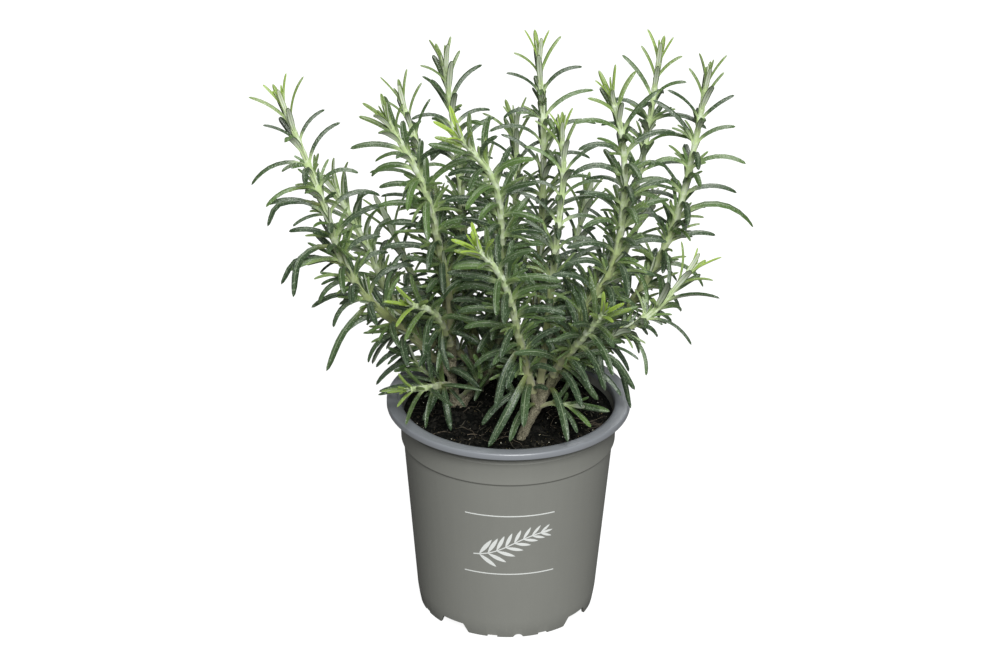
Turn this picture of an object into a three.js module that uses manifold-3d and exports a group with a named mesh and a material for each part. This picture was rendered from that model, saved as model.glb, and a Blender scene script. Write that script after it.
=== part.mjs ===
// A young rosemary bush in a 12 cm nursery pot. Millimetres, +Z up.
// The plant is laid out round the pot's axis, with z = 0 under the pot's feet. The group is then
// moved sideways, so that the middle of the whole plant's bounding box stands over the origin.
import * as THREE from 'three';
import { mergeVertices } from 'three/addons/utils/BufferGeometryUtils.js';
import Module from 'manifold-3d';

const wasm = await Module();
wasm.setup();

// ---------------------------------------------------------------- driving dimensions

const GAP = 0.3; // clearance between pieces that rest in or on each other
const FINEST = 0.02; // edges shorter than this, left where tubes cross, are closed up
const ROUND = 40; // corners of the pot and the soil, seen from above

const POT = {
  height: 112,
  wall: 1.2,
  footRadius: 43.2, // outside, at the very bottom
  chamferHeight: 8, // the foot leans in a little more than the wall does
  baseRadius: 43.9, // the straight wall, carried down to z = 0
  taper: 0.0863, // growth of the wall's radius for each millimetre of height
  stepHeight: 91, // the ledge on which pots rest when they are stacked
  bandRadius: 52.9, // outside of the wall above the ledge
  bandTop: 109.9,
  rimRadius: 60,
  rimInner: 54.5,
  lipHeight: 3.3, // how far the rim's edge is turned down
  floor: 7.4, // underside of the raised floor
  floorThickness: 1.4,
};

const FEET = {
  count: 4,
  firstAngle: 8, // degrees from the front, towards +X
  gapWidth: 17.6, // between two feet, at the bottom
  gapTopWidth: 12.4,
  gapHeight: 5,
  archRadius: 2.5, // the round notch in the middle of each foot
  archHeight: 2,
  slotAngle: 17, // the two shallow slots beside it
  slotWidth: 5,
  slotHeight: 1.2,
};

const DRAIN = { radius: 5, ring: 27, count: 4, sides: 10 };

const SOIL = {
  edgeHeight: 104,
  middleHeight: 105.2,
  rings: [44, 33, 21, 9],
  relief: 0.9, // height of the crumbs and hollows on top
};

const STEM = {
  sides: 4, // rosemary stems are square
  woodRadius: 2.8, // to the corners, as are the others
  branchRadius: 2.4,
  baseRadius: 2.2, // where the leaves begin
  tipRadius: 1.3,
  woodStep: 8,
  branchStart: 0.5, // along its path, so that no two branches start from the very same spot
  belowPair: 1, // a stem has a ring this far below every second pair of leaves
};

// The leaves stand in crossed pairs. Near the growing tip they are short, upright and close together.
const LEAF = {
  youngZone: 32, // length of stem below the tip over which leaves grow up
  spacing: [3, 6.6], // between pairs: at the tip, and where the leaves are full grown
  length: [13, 27],
  angle: [13, 38], // degrees from the stem, at the leaf's root
  bend: [22, 84], // degrees by which the leaf arches outwards
  droop: [0.02, 0.3], // pull of gravity
  spread: { length: [0.8, 1.18], angle: 12, bend: [0.35, 1.2], droop: [0.5, 1.5], turn: 12 }, // by chance
  lowerLength: 33, // the leaves low on the bush are longer: they grow up to this from
  lowerFrom: 190, // here, with z counted from the pot's feet,
  lowerTo: 130, // to here,
  lowerDroop: 0.3, // and hang by this much more
  width: 1.4, // and a tenth of its length on top
  thickness: 1.3,
  bareLength: 3, // from the start of a leafy stem to its first pair
  steps: 10, // a leaf's middle line is walked in this many steps
  rootDepth: 0.3, // share of the stem's radius at which the middle line starts
  long: { corners: [0, 4, 8, 10], sections: [0.36, 1, 0.84] }, // steps with a section, and its share
  short: { corners: [0, 5, 10], sections: [0.4, 1] }, // of the full width; the last is the point
  shortLength: 20,
  fullPairs: 3, // pairs at the tip with both leaves
  leftOut: 3, // below, one leaf stands for the pair, and every third pair is left out
  tries: 6, // each with a shorter leaf, turned further
  tryShorter: 0.09,
  tryTurn: 0.7,
};

// Room that leaves keep: between the sampled spots of their middle lines, and over the pot.
const ROOM = {
  slack: 0.7,
  ownShare: 0.4,
  firstStep: 2, // the root of a leaf lies in its own stem
  rootSteps: 2, // the next steps may lie close to their own stem
  aboveSoil: 108,
  aboveRim: 114.6,
  besidePot: 98,
};

// Each wooden stem is rooted in the soil. A leafy stem leaves it at the first place of its path and
// ends at the last. Its first `bark` millimetres are brown, and belong to the wooden stem. `facing` is
// the way its first pair of leaves lies, in degrees from +X, and is drawn by chance where it isn't given.
const WOODS = {
  left: {
    trunks: [
      [[-25, 6, 82], [-26, 6, 100], [-27, 6, 112], [-28, 5, 121], [-28, 5, 139]],
      [[-25, 6, 98], [-22, 5, 107], [-17, 5, 114], [-11, 5, 119]],
    ],
    stems: {
      tall_left: {
        facing: 6,
        bark: 13,
        path: [[-28, 5, 121], [-46, 2, 142], [-68, -3, 166], [-82, -8, 192], [-89, -11, 220], [-108, -4, 268]],
      },
      left_behind: {
        bark: 11,
        path: [[-28, 5, 130], [-40, 11, 138], [-57, 22, 152], [-69, 31, 175], [-86, 38, 206]],
      },
      upright_left: {
        bark: 10,
        path: [[-28, 5, 139], [-31, 15, 153], [-36, 30, 182], [-43, 39, 218], [-53, 44, 250]],
      },
      leaning_left: {
        bark: 10,
        path: [[-28, 5, 139], [-29, 1, 162], [-34, -7, 196], [-42, -18, 235], [-58, -26, 270]],
      },
      side_left: { bark: 10, path: [[-28, 5, 133], [-31, -6, 150], [-37, -20, 168], [-47, -35, 179]] },
      rim_left: { bark: 9, path: [[-27, 6, 114], [-33, -8, 122], [-39, -22, 128], [-48, -36, 134]] },
      bright_mid: {
        bark: 12,
        path: [[-11, 5, 119], [-3, -4, 151], [-4, -15, 190], [-7, -33, 240], [-24, -46, 271]],
      },
    },
  },
  front: {
    trunks: [[[5, -29, 82], [6, -28, 100], [9, -28, 111], [14, -28, 121], [19, -27, 131]]],
    stems: {
      pale_front: {
        bark: 11,
        path: [[14, -28, 121], [7, -36, 152], [1, -50, 186], [-5, -63, 209], [-15, -73, 226]],
      },
      upright_centre: {
        bark: 13,
        path: [[14, -28, 121], [18, -18, 158], [22, -10, 200], [25, -3, 233], [24, 0, 253]],
      },
      bright_front: { bark: 12, path: [[19, -27, 131], [24, -36, 148], [34, -50, 169], [44, -70, 193]] },
      broad_right: {
        bark: 15,
        path: [[19, -27, 131], [36, -31, 175], [49, -34, 202], [53, -37, 240], [51, -40, 270], [46, -42, 290]],
      },
      low_right: {
        bark: 18,
        path: [[17, -27, 127], [27, -27, 142], [46, -27, 157], [68, -25, 171], [86, -18, 190]],
      },
    },
  },
  back_left: {
    trunks: [[[-15, 21, 82], [-15, 22, 100], [-14, 23, 110], [-11, 26, 119]]],
    stems: {
      tall_mid_left: {
        bark: 12,
        path: [[-12, 25, 117], [-19, 35, 137], [-23, 47, 178], [-26, 55, 215], [-33, 62, 262]],
      },
      small_centre: {
        bark: 12,
        path: [[-11, 26, 119], [-4, 40, 134], [1, 56, 164], [3, 67, 202], [2, 72, 226]],
      },
      back_left: { bark: 11, path: [[-14, 24, 112], [-28, 34, 124], [-44, 51, 144], [-62, 69, 176]] },
      back_centre: {
        bark: 12,
        path: [[-11, 26, 119], [-8, 42, 125], [-7, 64, 142], [-10, 78, 168], [-13, 86, 194]],
      },
      small_behind: { bark: 12, path: [[-14, 23, 110], [-19, 40, 119], [-26, 62, 140], [-36, 78, 179]] },
    },
  },
  back_right: {
    trunks: [[[8, 17, 82], [8, 18, 100], [10, 20, 113], [16, 20, 127]]],
    stems: {
      tall_centre: {
        bark: 14,
        path: [[10, 20, 113], [12, 31, 134], [15, 43, 171], [16, 54, 225], [13, 60, 268]],
      },
      tall_right: {
        bark: 11,
        path: [[16, 20, 127], [30, 27, 144], [52, 35, 179], [64, 40, 222], [71, 44, 273]],
      },
      far_right: {
        bark: 11,
        facing: 4,
        longLeaf: { pair: 12, length: 42 },
        path: [[16, 20, 127], [34, 14, 139], [60, 11, 160], [78, 13, 196], [87, 15, 235], [93, 18, 273]],
      },
      back_right: { bark: 11, path: [[15, 20, 123], [30, 36, 130], [50, 56, 148], [68, 73, 182]] },
      back_mid_right: { bark: 12, path: [[9, 19, 108], [15, 40, 118], [27, 62, 138], [38, 80, 182]] },
    },
  },
};

const PAINT = {
  pot: { color: 0x85857c, roughness: 0.55, metalness: 0 },
  soil: { color: 0x2a211b, roughness: 0.95, metalness: 0 },
  wood: { color: 0x8c7d66, roughness: 0.9, metalness: 0 },
  leaf: { color: 0x55743f, roughness: 0.5, metalness: 0 },
};

// ---------------------------------------------------------------- solids

const { lerp, degToRad, clamp } = THREE.MathUtils;
const vector = (place) => new THREE.Vector3(...place);

// A closed three.js mesh as a solid that can be joined and cut.
function solidOf(geometry) {
  const bare = geometry.clone();
  bare.deleteAttribute('normal');
  bare.deleteAttribute('uv');
  const merged = mergeVertices(bare, 1e-4);
  const corners = merged.index.array;
  const kept = [];
  for (let i = 0; i < corners.length; i += 3) {
    const [a, b, c] = corners.slice(i, i + 3);
    if (a !== b && b !== c && c !== a) kept.push(a, b, c);
  }
  const vertProperties = new Float32Array(merged.attributes.position.array);
  const triVerts = new Uint32Array(kept);
  return new wasm.Manifold(new wasm.Mesh({ numProp: 3, vertProperties, triVerts }));
}

function meshOf(name, solid, paint) {
  const { vertProperties, triVerts } = solid.getMesh();
  const geometry = new THREE.BufferGeometry();
  geometry.setAttribute('position', new THREE.BufferAttribute(vertProperties, 3));
  geometry.setIndex(new THREE.BufferAttribute(triVerts, 1));
  geometry.computeVertexNormals();
  const mesh = new THREE.Mesh(geometry, new THREE.MeshStandardMaterial(paint));
  mesh.name = name;
  return mesh;
}

// A closed skin over rings of corners that run the same way round. The last ring may be one point.
function skinOver(rings) {
  const corners = rings.flat();
  const triangles = [];
  const sides = rings[0].length;
  rings.slice(1).forEach((ring, index) => {
    const low = index * sides;
    const high = low + sides;
    for (let i = 0; i < sides; i += 1) {
      const next = (i + 1) % sides;
      if (ring.length === 1) {
        triangles.push(low + i, low + next, high);
      } else {
        triangles.push(low + i, low + next, high + next, low + i, high + next, high + i);
      }
    }
  });
  const last = corners.length - sides;
  for (let i = 1; i < sides - 1; i += 1) {
    triangles.push(0, i + 1, i);
    if (rings.at(-1).length > 1) triangles.push(last, last + i, last + i + 1);
  }
  const geometry = new THREE.BufferGeometry().setFromPoints(corners);
  geometry.setIndex(triangles);
  return geometry;
}

// A body turned round the pot's axis, from [radius, height] points that start and end on the axis.
function turned(profile) {
  const points = profile.map(([radius, height]) => new THREE.Vector2(radius, height));
  return new THREE.LatheGeometry(points, ROUND).rotateX(Math.PI / 2);
}

// ---------------------------------------------------------------- pot

const wallRadius = (height) => POT.baseRadius + POT.taper * height;
const aroundPot = (degrees, radius, height) => {
  const angle = degToRad(degrees);
  return new THREE.Vector3(radius * Math.sin(angle), -radius * Math.cos(angle), height);
};

function potProfile() {
  const { height, wall, stepHeight, bandRadius, bandTop, rimRadius, rimInner, floor } = POT;
  const floorTop = floor + POT.floorThickness;
  const bandInner = bandRadius - wall;
  return [
    [0, floor],
    [wallRadius(floor) - wall - 0.6, floor],
    [POT.footRadius - wall - 0.3, 0],
    [POT.footRadius, 0],
    [wallRadius(POT.chamferHeight), POT.chamferHeight],
    [wallRadius(stepHeight - 0.6), stepHeight - 0.6],
    [bandRadius, stepHeight + 0.4],
    [bandRadius + 0.3, bandTop - 0.5],
    [bandRadius + 1, bandTop],
    [rimRadius - wall - 0.1, bandTop + 0.4],
    [rimRadius - wall, height - POT.lipHeight],
    [rimRadius - 0.3, height - POT.lipHeight],
    [rimRadius, height - POT.lipHeight + 0.5],
    [rimRadius, height - 0.9],
    [rimRadius - 0.9, height],
    [rimInner + 0.2, height],
    [rimInner - 1.8, height - 0.7],
    [bandInner + 0.3, height - 3],
    [bandInner, stepHeight + 0.6],
    [wallRadius(stepHeight - 1.4) - wall, stepHeight - 1.4],
    [wallRadius(floorTop) - wall, floorTop],
    [0, floorTop],
  ];
}

// The openings under the pot: wide gaps between the feet, and an arch and two slots in each foot.
function footCutters() {
  const reach = 12;
  const trapezoid = new THREE.Shape([
    new THREE.Vector2(-FEET.gapWidth / 2 - 0.6, -1),
    new THREE.Vector2(FEET.gapWidth / 2 + 0.6, -1),
    new THREE.Vector2(FEET.gapTopWidth / 2, FEET.gapHeight),
    new THREE.Vector2(-FEET.gapTopWidth / 2, FEET.gapHeight),
  ]);
  const upright = (geometry) => geometry.rotateX(Math.PI / 2);
  const gap = () => upright(new THREE.ExtrudeGeometry(trapezoid, { depth: reach, bevelEnabled: false }))
    .translate(0, -POT.footRadius + reach / 2, 0);
  const arch = () => new THREE.CylinderGeometry(FEET.archRadius, FEET.archRadius, reach, 12)
    .translate(0, -POT.footRadius, FEET.archHeight - FEET.archRadius);
  const slot = () => new THREE.BoxGeometry(FEET.slotWidth, reach, FEET.slotHeight * 2)
    .translate(0, -POT.footRadius, 0);
  const cutters = [];
  for (let i = 0; i < FEET.count; i += 1) {
    const foot = FEET.firstAngle + (i * 360) / FEET.count;
    const places = [
      [gap(), foot + 180 / FEET.count],
      [arch(), foot],
      [slot(), foot - FEET.slotAngle],
      [slot(), foot + FEET.slotAngle],
    ];
    places.forEach(([geometry, angle]) => cutters.push(geometry.rotateZ(degToRad(angle))));
  }
  return cutters;
}

function drainCutters() {
  const places = [new THREE.Vector3(0, 0, POT.floor)];
  for (let i = 0; i < DRAIN.count; i += 1) {
    places.push(aroundPot(FEET.firstAngle + (i * 360) / DRAIN.count, DRAIN.ring, POT.floor));
  }
  return places.map(({ x, y, z }) => new THREE.CylinderGeometry(DRAIN.radius, DRAIN.radius, 6, DRAIN.sides)
    .rotateX(Math.PI / 2)
    .translate(x, y, z));
}

function makePot() {
  const cutters = [...footCutters(), ...drainCutters()].map(solidOf);
  return solidOf(turned(potProfile())).subtract(wasm.Manifold.union(cutters));
}

// ---------------------------------------------------------------- soil

// The crumbly surface: a few crossing waves, flat at the wall.
function crumbs(x, y) {
  const waves = Math.sin(x * 0.31 + y * 0.12) + Math.sin(y * 0.37 - x * 0.16) + Math.sin((x + y) * 0.53);
  const fromWall = clamp((50 - Math.hypot(x, y)) / 8, 0, 1);
  return (SOIL.relief * fromWall * waves) / 2;
}

function soilBall() {
  const floorTop = POT.floor + POT.floorThickness + GAP;
  const ledge = POT.stepHeight - 1.4;
  const bandInner = POT.bandRadius - POT.wall - GAP;
  const profile = [
    [0, floorTop],
    [wallRadius(floorTop) - POT.wall - GAP, floorTop],
    [wallRadius(ledge) - POT.wall - GAP, ledge],
    [bandInner, POT.stepHeight + 0.9],
    [bandInner, SOIL.edgeHeight],
    ...SOIL.rings.map((radius) => [radius, lerp(SOIL.middleHeight, SOIL.edgeHeight, radius / 52)]),
    [0, SOIL.middleHeight],
  ];
  const geometry = turned(profile);
  const place = geometry.attributes.position;
  for (let i = 0; i < place.count; i += 1) {
    if (place.getZ(i) > SOIL.edgeHeight) {
      place.setZ(i, place.getZ(i) + crumbs(place.getX(i), place.getY(i)));
    }
  }
  return solidOf(geometry);
}

// ---------------------------------------------------------------- stems

const smoothCurve = (places) => new THREE.CatmullRomCurve3(places.map(vector), false, 'catmullrom');

// Stations along a curve, each with its place, its direction and a side that turns as little as it can.
function stationsAlong(curve, distances, facing = 0) {
  const length = curve.getLength();
  let side = new THREE.Vector3(Math.cos(degToRad(facing)), Math.sin(degToRad(facing)), 0);
  return distances.map((distance) => {
    const share = clamp(distance / length, 0, 1);
    const along = curve.getTangentAt(share);
    side = side.clone().addScaledVector(along, -side.dot(along)).normalize();
    const up = new THREE.Vector3().crossVectors(along, side);
    return { place: curve.getPointAt(share), along, side, up, distance };
  });
}

// Distances from start to end, in equal steps near the wanted one.
function evenly(start, end, step) {
  const count = Math.max(1, Math.round((end - start) / step));
  return Array.from({ length: count + 1 }, (_, i) => lerp(start, end, i / count));
}

function tubeAlong(curve, distances, radiusAt, facing = 0) {
  const rings = stationsAlong(curve, distances, facing).map(({ place, side, up, distance }) => {
    const radius = radiusAt(distance);
    return Array.from({ length: STEM.sides }, (_, i) => {
      const angle = ((i + 0.5) / STEM.sides) * 2 * Math.PI;
      return place.clone()
        .addScaledVector(side, radius * Math.cos(angle))
        .addScaledVector(up, radius * Math.sin(angle));
    });
  });
  return solidOf(skinOver(rings));
}

function grownTogether(solids) {
  return wasm.Manifold.union(solids).simplify(FINEST);
}

function trunkTube(places, extra) {
  const curve = smoothCurve(places);
  return tubeAlong(curve, evenly(0, curve.getLength(), STEM.woodStep), () => STEM.woodRadius + extra);
}

function woodBranch(stem) {
  const radiusAt = () => STEM.branchRadius;
  const distances = evenly(STEM.branchStart, stem.bark - GAP, STEM.woodStep);
  return tubeAlong(smoothCurve(stem.path), distances, radiusAt);
}

function leafyStemRadius(stem, distance, length) {
  return lerp(STEM.baseRadius, STEM.tipRadius, (distance - stem.bark) / (length - stem.bark));
}

function makeWood({ trunks, stems }) {
  const tubes = trunks.map((places) => trunkTube(places, 0));
  return grownTogether([...tubes, ...Object.values(stems).map(woodBranch)]);
}

// ---------------------------------------------------------------- leaves

// A repeatable draw between 0 and 1 for one leaf of one stem.
function chance(stem, leaf, draw) {
  const wave = Math.sin(stem * 12.9898 + leaf * 78.233 + draw * 37.719) * 43758.5453;
  return wave - Math.floor(wave);
}

// Where the pairs stand: close together at the tip, wider below it.
function pairDistances(stem, length) {
  const distances = [];
  let distance = length - 1;
  while (distance > stem.bark + LEAF.bareLength) {
    distances.push(distance);
    const grown = clamp((length - distance) / LEAF.youngZone, 0, 1);
    distance -= lerp(...LEAF.spacing, Math.sqrt(grown));
  }
  return distances;
}

// One leaf's sizes, from how far below the tip it stands and how low in the bush.
function leafSizes(station, length, seed, leaf, attempt) {
  const grown = clamp((length - station.distance) / LEAF.youngZone, 0, 1);
  const low = clamp((LEAF.lowerFrom - station.place.z) / (LEAF.lowerFrom - LEAF.lowerTo), 0, 1);
  const full = station.fullLength ?? lerp(LEAF.length[1], LEAF.lowerLength, low);
  const draw = (number) => chance(seed, leaf, number + attempt * 10);
  const either = (number) => 2 * draw(number) - 1;
  const { spread } = LEAF;
  const shorter = 1 - attempt * LEAF.tryShorter;
  return {
    length: lerp(LEAF.length[0], full, Math.sqrt(grown)) * lerp(...spread.length, draw(1)) * shorter,
    angle: degToRad(lerp(...LEAF.angle, grown) + spread.angle * grown * either(2)),
    bend: degToRad(lerp(...LEAF.bend, grown) * lerp(...spread.bend, draw(3))),
    droop: lerp(...LEAF.droop, grown) * lerp(...spread.droop, draw(4)) + LEAF.lowerDroop * low * grown,
    turn: degToRad(spread.turn * either(5) * (1 + attempt * LEAF.tryTurn)),
  };
}

// The leaf's middle line and the way its width lies at each step.
function leafLine(station, sizes, quarter) {
  const around = sizes.turn + (quarter * Math.PI) / 2;
  const outward = station.side.clone().multiplyScalar(Math.cos(around))
    .addScaledVector(station.up, Math.sin(around));
  const across = new THREE.Vector3().crossVectors(station.along, outward);
  const line = [];
  const place = station.place.clone().addScaledVector(outward, LEAF.rootDepth * station.radius);
  for (let i = 0; i <= LEAF.steps; i += 1) {
    const share = i / LEAF.steps;
    const angle = sizes.angle + sizes.bend * share;
    const heading = station.along.clone().multiplyScalar(Math.cos(angle))
      .addScaledVector(outward, Math.sin(angle));
    heading.z -= sizes.droop * share;
    heading.normalize();
    const width = across.clone().addScaledVector(heading, -across.dot(heading)).normalize();
    const top = new THREE.Vector3().crossVectors(heading, width).negate();
    line.push({ place: place.clone(), width, top });
    place.addScaledVector(heading, sizes.length / LEAF.steps);
  }
  return line;
}

const halfWidth = (length) => (LEAF.width + length / 10) / 2;

// A three-sided needle: flat below, with a ridge along its upper side.
function needle(line, length) {
  const { corners, sections } = length < LEAF.shortLength ? LEAF.short : LEAF.long;
  const rings = corners.map((step, index) => {
    if (index === sections.length) return [line[step].place];
    const { width, top } = line[Math.max(step, corners[1])];
    const half = halfWidth(length) * sections[index];
    const thick = LEAF.thickness * (index === 0 ? sections[0] : 1);
    const base = line[step].place.clone().addScaledVector(top, -thick * 0.35);
    return [
      base.clone().addScaledVector(width, half),
      base.clone().addScaledVector(width, -half),
      base.clone().addScaledVector(top, thick),
    ];
  });
  return solidOf(skinOver(rings));
}

// ---------------------------------------------------------------- room between stems and leaves

const CELL = 5;
const taken = new Map();
const cellsOf = (place) => place.toArray().map((value) => Math.floor(value / CELL));

// Remembers that a round spot is filled by a stem or a leaf of the named piece.
function take(place, radius, owner) {
  const key = cellsOf(place).join();
  if (!taken.has(key)) taken.set(key, []);
  taken.get(key).push({ place, radius, owner });
}

// Leaves of one stem may come close to each other; those of two stems keep clear.
function isFree(place, radius, owner, ownShare) {
  const [x, y, z] = cellsOf(place);
  const room = (other) => (other.owner === owner ? ownShare : 1) * (radius + other.radius + ROOM.slack);
  for (let i = x - 1; i <= x + 1; i += 1) {
    for (let j = y - 1; j <= y + 1; j += 1) {
      for (let k = z - 1; k <= z + 1; k += 1) {
        const near = taken.get([i, j, k].join()) ?? [];
        if (near.some((other) => other.place.distanceTo(place) < room(other))) return false;
      }
    }
  }
  return true;
}

// Leaves stay above the soil and the rim, and may hang a little beside the pot.
function isAbovePot({ x, y, z }) {
  const radius = Math.hypot(x, y);
  if (radius < POT.rimInner - 4) return z > ROOM.aboveSoil;
  if (radius < POT.rimRadius + 3) return z > ROOM.aboveRim;
  return z > ROOM.besidePot;
}

function leafFits(line, radius, owner) {
  return line.slice(ROOM.firstStep).every(({ place }, index) => {
    const ownShare = index < ROOM.rootSteps ? 0 : ROOM.ownShare;
    return isAbovePot(place) && isFree(place, radius, owner, ownShare);
  });
}

function takeStem(curve, start, end, radiusAt, owner) {
  const distances = evenly(start, end, 1.5);
  stationsAlong(curve, distances).forEach(({ place, distance }) => take(place, radiusAt(distance), owner));
}

// ---------------------------------------------------------------- leafy stems

const leafyStems = Object.values(WOODS).flatMap(({ stems }) => Object.entries(stems));

function takeAllStems() {
  Object.entries(WOODS).forEach(([name, { trunks }]) => trunks.forEach((places) => {
    const curve = smoothCurve(places);
    takeStem(curve, 0, curve.getLength(), () => STEM.woodRadius, `wood_${name}`);
  }));
  leafyStems.forEach(([name, stem]) => {
    const curve = smoothCurve(stem.path);
    const length = curve.getLength();
    takeStem(curve, 0, stem.bark, () => STEM.branchRadius, name);
    takeStem(curve, stem.bark, length, (distance) => leafyStemRadius(stem, distance, length), name);
  });
}

// The first shape of the leaf that has room, or nothing. `quarter` counts quarter turns round the stem.
function placeLeaf(station, length, seed, leaf, quarter, owner) {
  for (let attempt = 0; attempt < LEAF.tries; attempt += 1) {
    const sizes = leafSizes(station, length, seed, leaf, attempt);
    const line = leafLine(station, sizes, quarter);
    const half = halfWidth(sizes.length);
    if (leafFits(line, half, owner)) {
      line.slice(1).forEach(({ place }) => take(place, half, owner));
      return needle(line, sizes.length);
    }
  }
  return null;
}

// The stem's rings, from its start to its tip. The pairs are listed from the tip down.
function ringDistances(stem, length, pairs) {
  const rings = pairs.filter((_, pair) => pair % 2 === 1).map((distance) => distance - STEM.belowPair);
  return [stem.bark, ...rings.reverse(), length];
}

// Which of the two leaves of a pair are built. The solids hold fewer than grow on the plant.
function leavesOfPair(pair) {
  if (pair < LEAF.fullPairs) return [0, 1];
  return pair % LEAF.leftOut === LEAF.leftOut - 1 ? [] : [0];
}

function makeLeafyStem(name, stem, seed) {
  const curve = smoothCurve(stem.path);
  const length = curve.getLength();
  const radiusAt = (distance) => leafyStemRadius(stem, distance, length);
  const pairs = pairDistances(stem, length);
  const facing = stem.facing ?? lerp(-25, 25, chance(seed, 0, 0));
  const solids = [tubeAlong(curve, ringDistances(stem, length, pairs), radiusAt, facing)];
  stationsAlong(curve, pairs, facing).forEach((spot, pair) => {
    const fullLength = stem.longLeaf?.pair === pair ? stem.longLeaf.length : undefined;
    const station = { ...spot, fullLength, radius: radiusAt(spot.distance) };
    leavesOfPair(pair).forEach((half) => {
      const leaf = placeLeaf(station, length, seed, pair * 2 + half, pair + half * 2, name);
      if (leaf) solids.push(leaf);
    });
  });
  return grownTogether(solids);
}

// ---------------------------------------------------------------- the whole plant

const plant = new THREE.Group();
takeAllStems();

const holes = Object.values(WOODS).flatMap(({ trunks }) => trunks.map((places) => trunkTube(places, GAP)));
plant.add(meshOf('pot', makePot(), PAINT.pot));
plant.add(meshOf('soil', soilBall().subtract(wasm.Manifold.union(holes)), PAINT.soil));
Object.entries(WOODS).forEach(([name, wood]) => {
  plant.add(meshOf(`wood_${name}`, makeWood(wood), PAINT.wood));
});
leafyStems.forEach(([name, stem], index) => {
  plant.add(meshOf(`stem_${name}`, makeLeafyStem(name, stem, index + 1), PAINT.leaf));
});

const bounds = new THREE.Box3().setFromObject(plant);
const middle = bounds.getCenter(new THREE.Vector3());
plant.position.set(-middle.x, -middle.y, -bounds.min.z);

const group = new THREE.Group();
group.add(plant);

export default group;
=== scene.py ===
import math
from collections import namedtuple

import bmesh
import bpy
import numpy as np
from mathutils import Matrix, Vector, noise


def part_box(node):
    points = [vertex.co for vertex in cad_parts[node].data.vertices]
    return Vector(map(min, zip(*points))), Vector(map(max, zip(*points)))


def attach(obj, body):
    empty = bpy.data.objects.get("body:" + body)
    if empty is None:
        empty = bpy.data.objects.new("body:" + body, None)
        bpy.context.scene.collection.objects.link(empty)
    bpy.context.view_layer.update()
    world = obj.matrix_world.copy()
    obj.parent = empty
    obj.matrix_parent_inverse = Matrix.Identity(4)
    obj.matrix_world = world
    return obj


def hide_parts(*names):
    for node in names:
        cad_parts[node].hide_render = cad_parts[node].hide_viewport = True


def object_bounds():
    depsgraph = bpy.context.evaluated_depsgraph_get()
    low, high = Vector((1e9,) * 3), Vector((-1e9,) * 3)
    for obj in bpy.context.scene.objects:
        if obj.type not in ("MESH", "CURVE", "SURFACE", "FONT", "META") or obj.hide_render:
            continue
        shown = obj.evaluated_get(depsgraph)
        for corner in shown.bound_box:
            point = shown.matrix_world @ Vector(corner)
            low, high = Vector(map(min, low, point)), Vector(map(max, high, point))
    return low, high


bl_info = {
    "name": "Potted Rosemary",
    "version": (1, 0, 0),
    "blender": (4, 5, 0),
    "location": "3D View > Sidebar > Rosemary",
    "description": "Models a young rosemary bush in a nursery pot round its packed solids",
    "category": "Add Mesh",
}

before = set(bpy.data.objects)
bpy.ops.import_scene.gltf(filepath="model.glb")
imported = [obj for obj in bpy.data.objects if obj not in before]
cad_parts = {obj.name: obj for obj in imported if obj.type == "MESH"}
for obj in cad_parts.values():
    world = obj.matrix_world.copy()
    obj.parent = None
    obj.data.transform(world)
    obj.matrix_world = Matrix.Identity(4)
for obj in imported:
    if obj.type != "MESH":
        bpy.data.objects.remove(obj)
cad_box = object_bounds()

MM = 0.001
TOUCH = 0.00002  # two corners this near to each other are one
WALL = 1.2  # thickness of the pot's wall, in millimetres

# Everything is modelled round the pot's axis, with z = 0 under its feet, and then moved by AXIS.
pot_low, pot_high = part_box("pot")
AXIS = Vector(((pot_low.x + pot_high.x) / 2, (pot_low.y + pot_high.y) / 2, 0))


# ---------------------------------------------------------------- sizes and colours

def paint(code):
    """A colour given by its six-figure screen code, in the linear values that materials use."""
    parts = [int(code[i:i + 2], 16) / 255 for i in (0, 2, 4)]
    return tuple(p / 12.92 if p < 0.04045 else ((p + 0.055) / 1.055) ** 2.4 for p in parts)


def length(name, millimetres, description):
    return bpy.props.FloatProperty(
        name=name, description=description, default=millimetres * MM, min=0, precision=5,
        unit="LENGTH", subtype="DISTANCE")


def share(name, default, description):
    return bpy.props.FloatProperty(
        name=name, description=description, default=default, min=0, max=1, subtype="FACTOR")


def colour(name, code, description):
    return bpy.props.FloatVectorProperty(
        name=name, description=description, default=paint(code), min=0, max=1, subtype="COLOR")


class PotSettings(bpy.types.PropertyGroup):
    """Sizes and colours of the nursery pot."""

    height: length("Height", 112, "From the plane under the feet to the top of the rim")
    foot_radius: length("Foot radius", 43.2, "Outside of the wall at the very bottom")
    rim_radius: length("Rim radius", 60, "Outside of the rim")
    wall: length("Wall", WALL, "Thickness of the moulded wall")
    wall_colour: colour("Wall colour", "868781", "The matt taupe-grey plastic")
    # The rim's bluer tint is painted sky light falling on its top.
    rim_colour_and_sky_tint: colour("Rim colour", "83878c", "The rim, which is a little bluer")
    dust: colour("Dust", "a9a496", "The little dust near the feet")


class PrintSettings(bpy.types.PropertyGroup):
    """Size and colour of the sprig that is printed on the pot."""

    width: length("Width", 45, "Along the wall, of the two thin rules")
    height: length("Height", 34, "Between the two rules")
    middle: length("Middle", 55.5, "Height of the print's middle over the ground")
    ink: colour("Ink", "e3e6e3", "The off-white ink")
    worn: colour("Worn ink", "a9aaa2", "Where the ink is thin")


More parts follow.
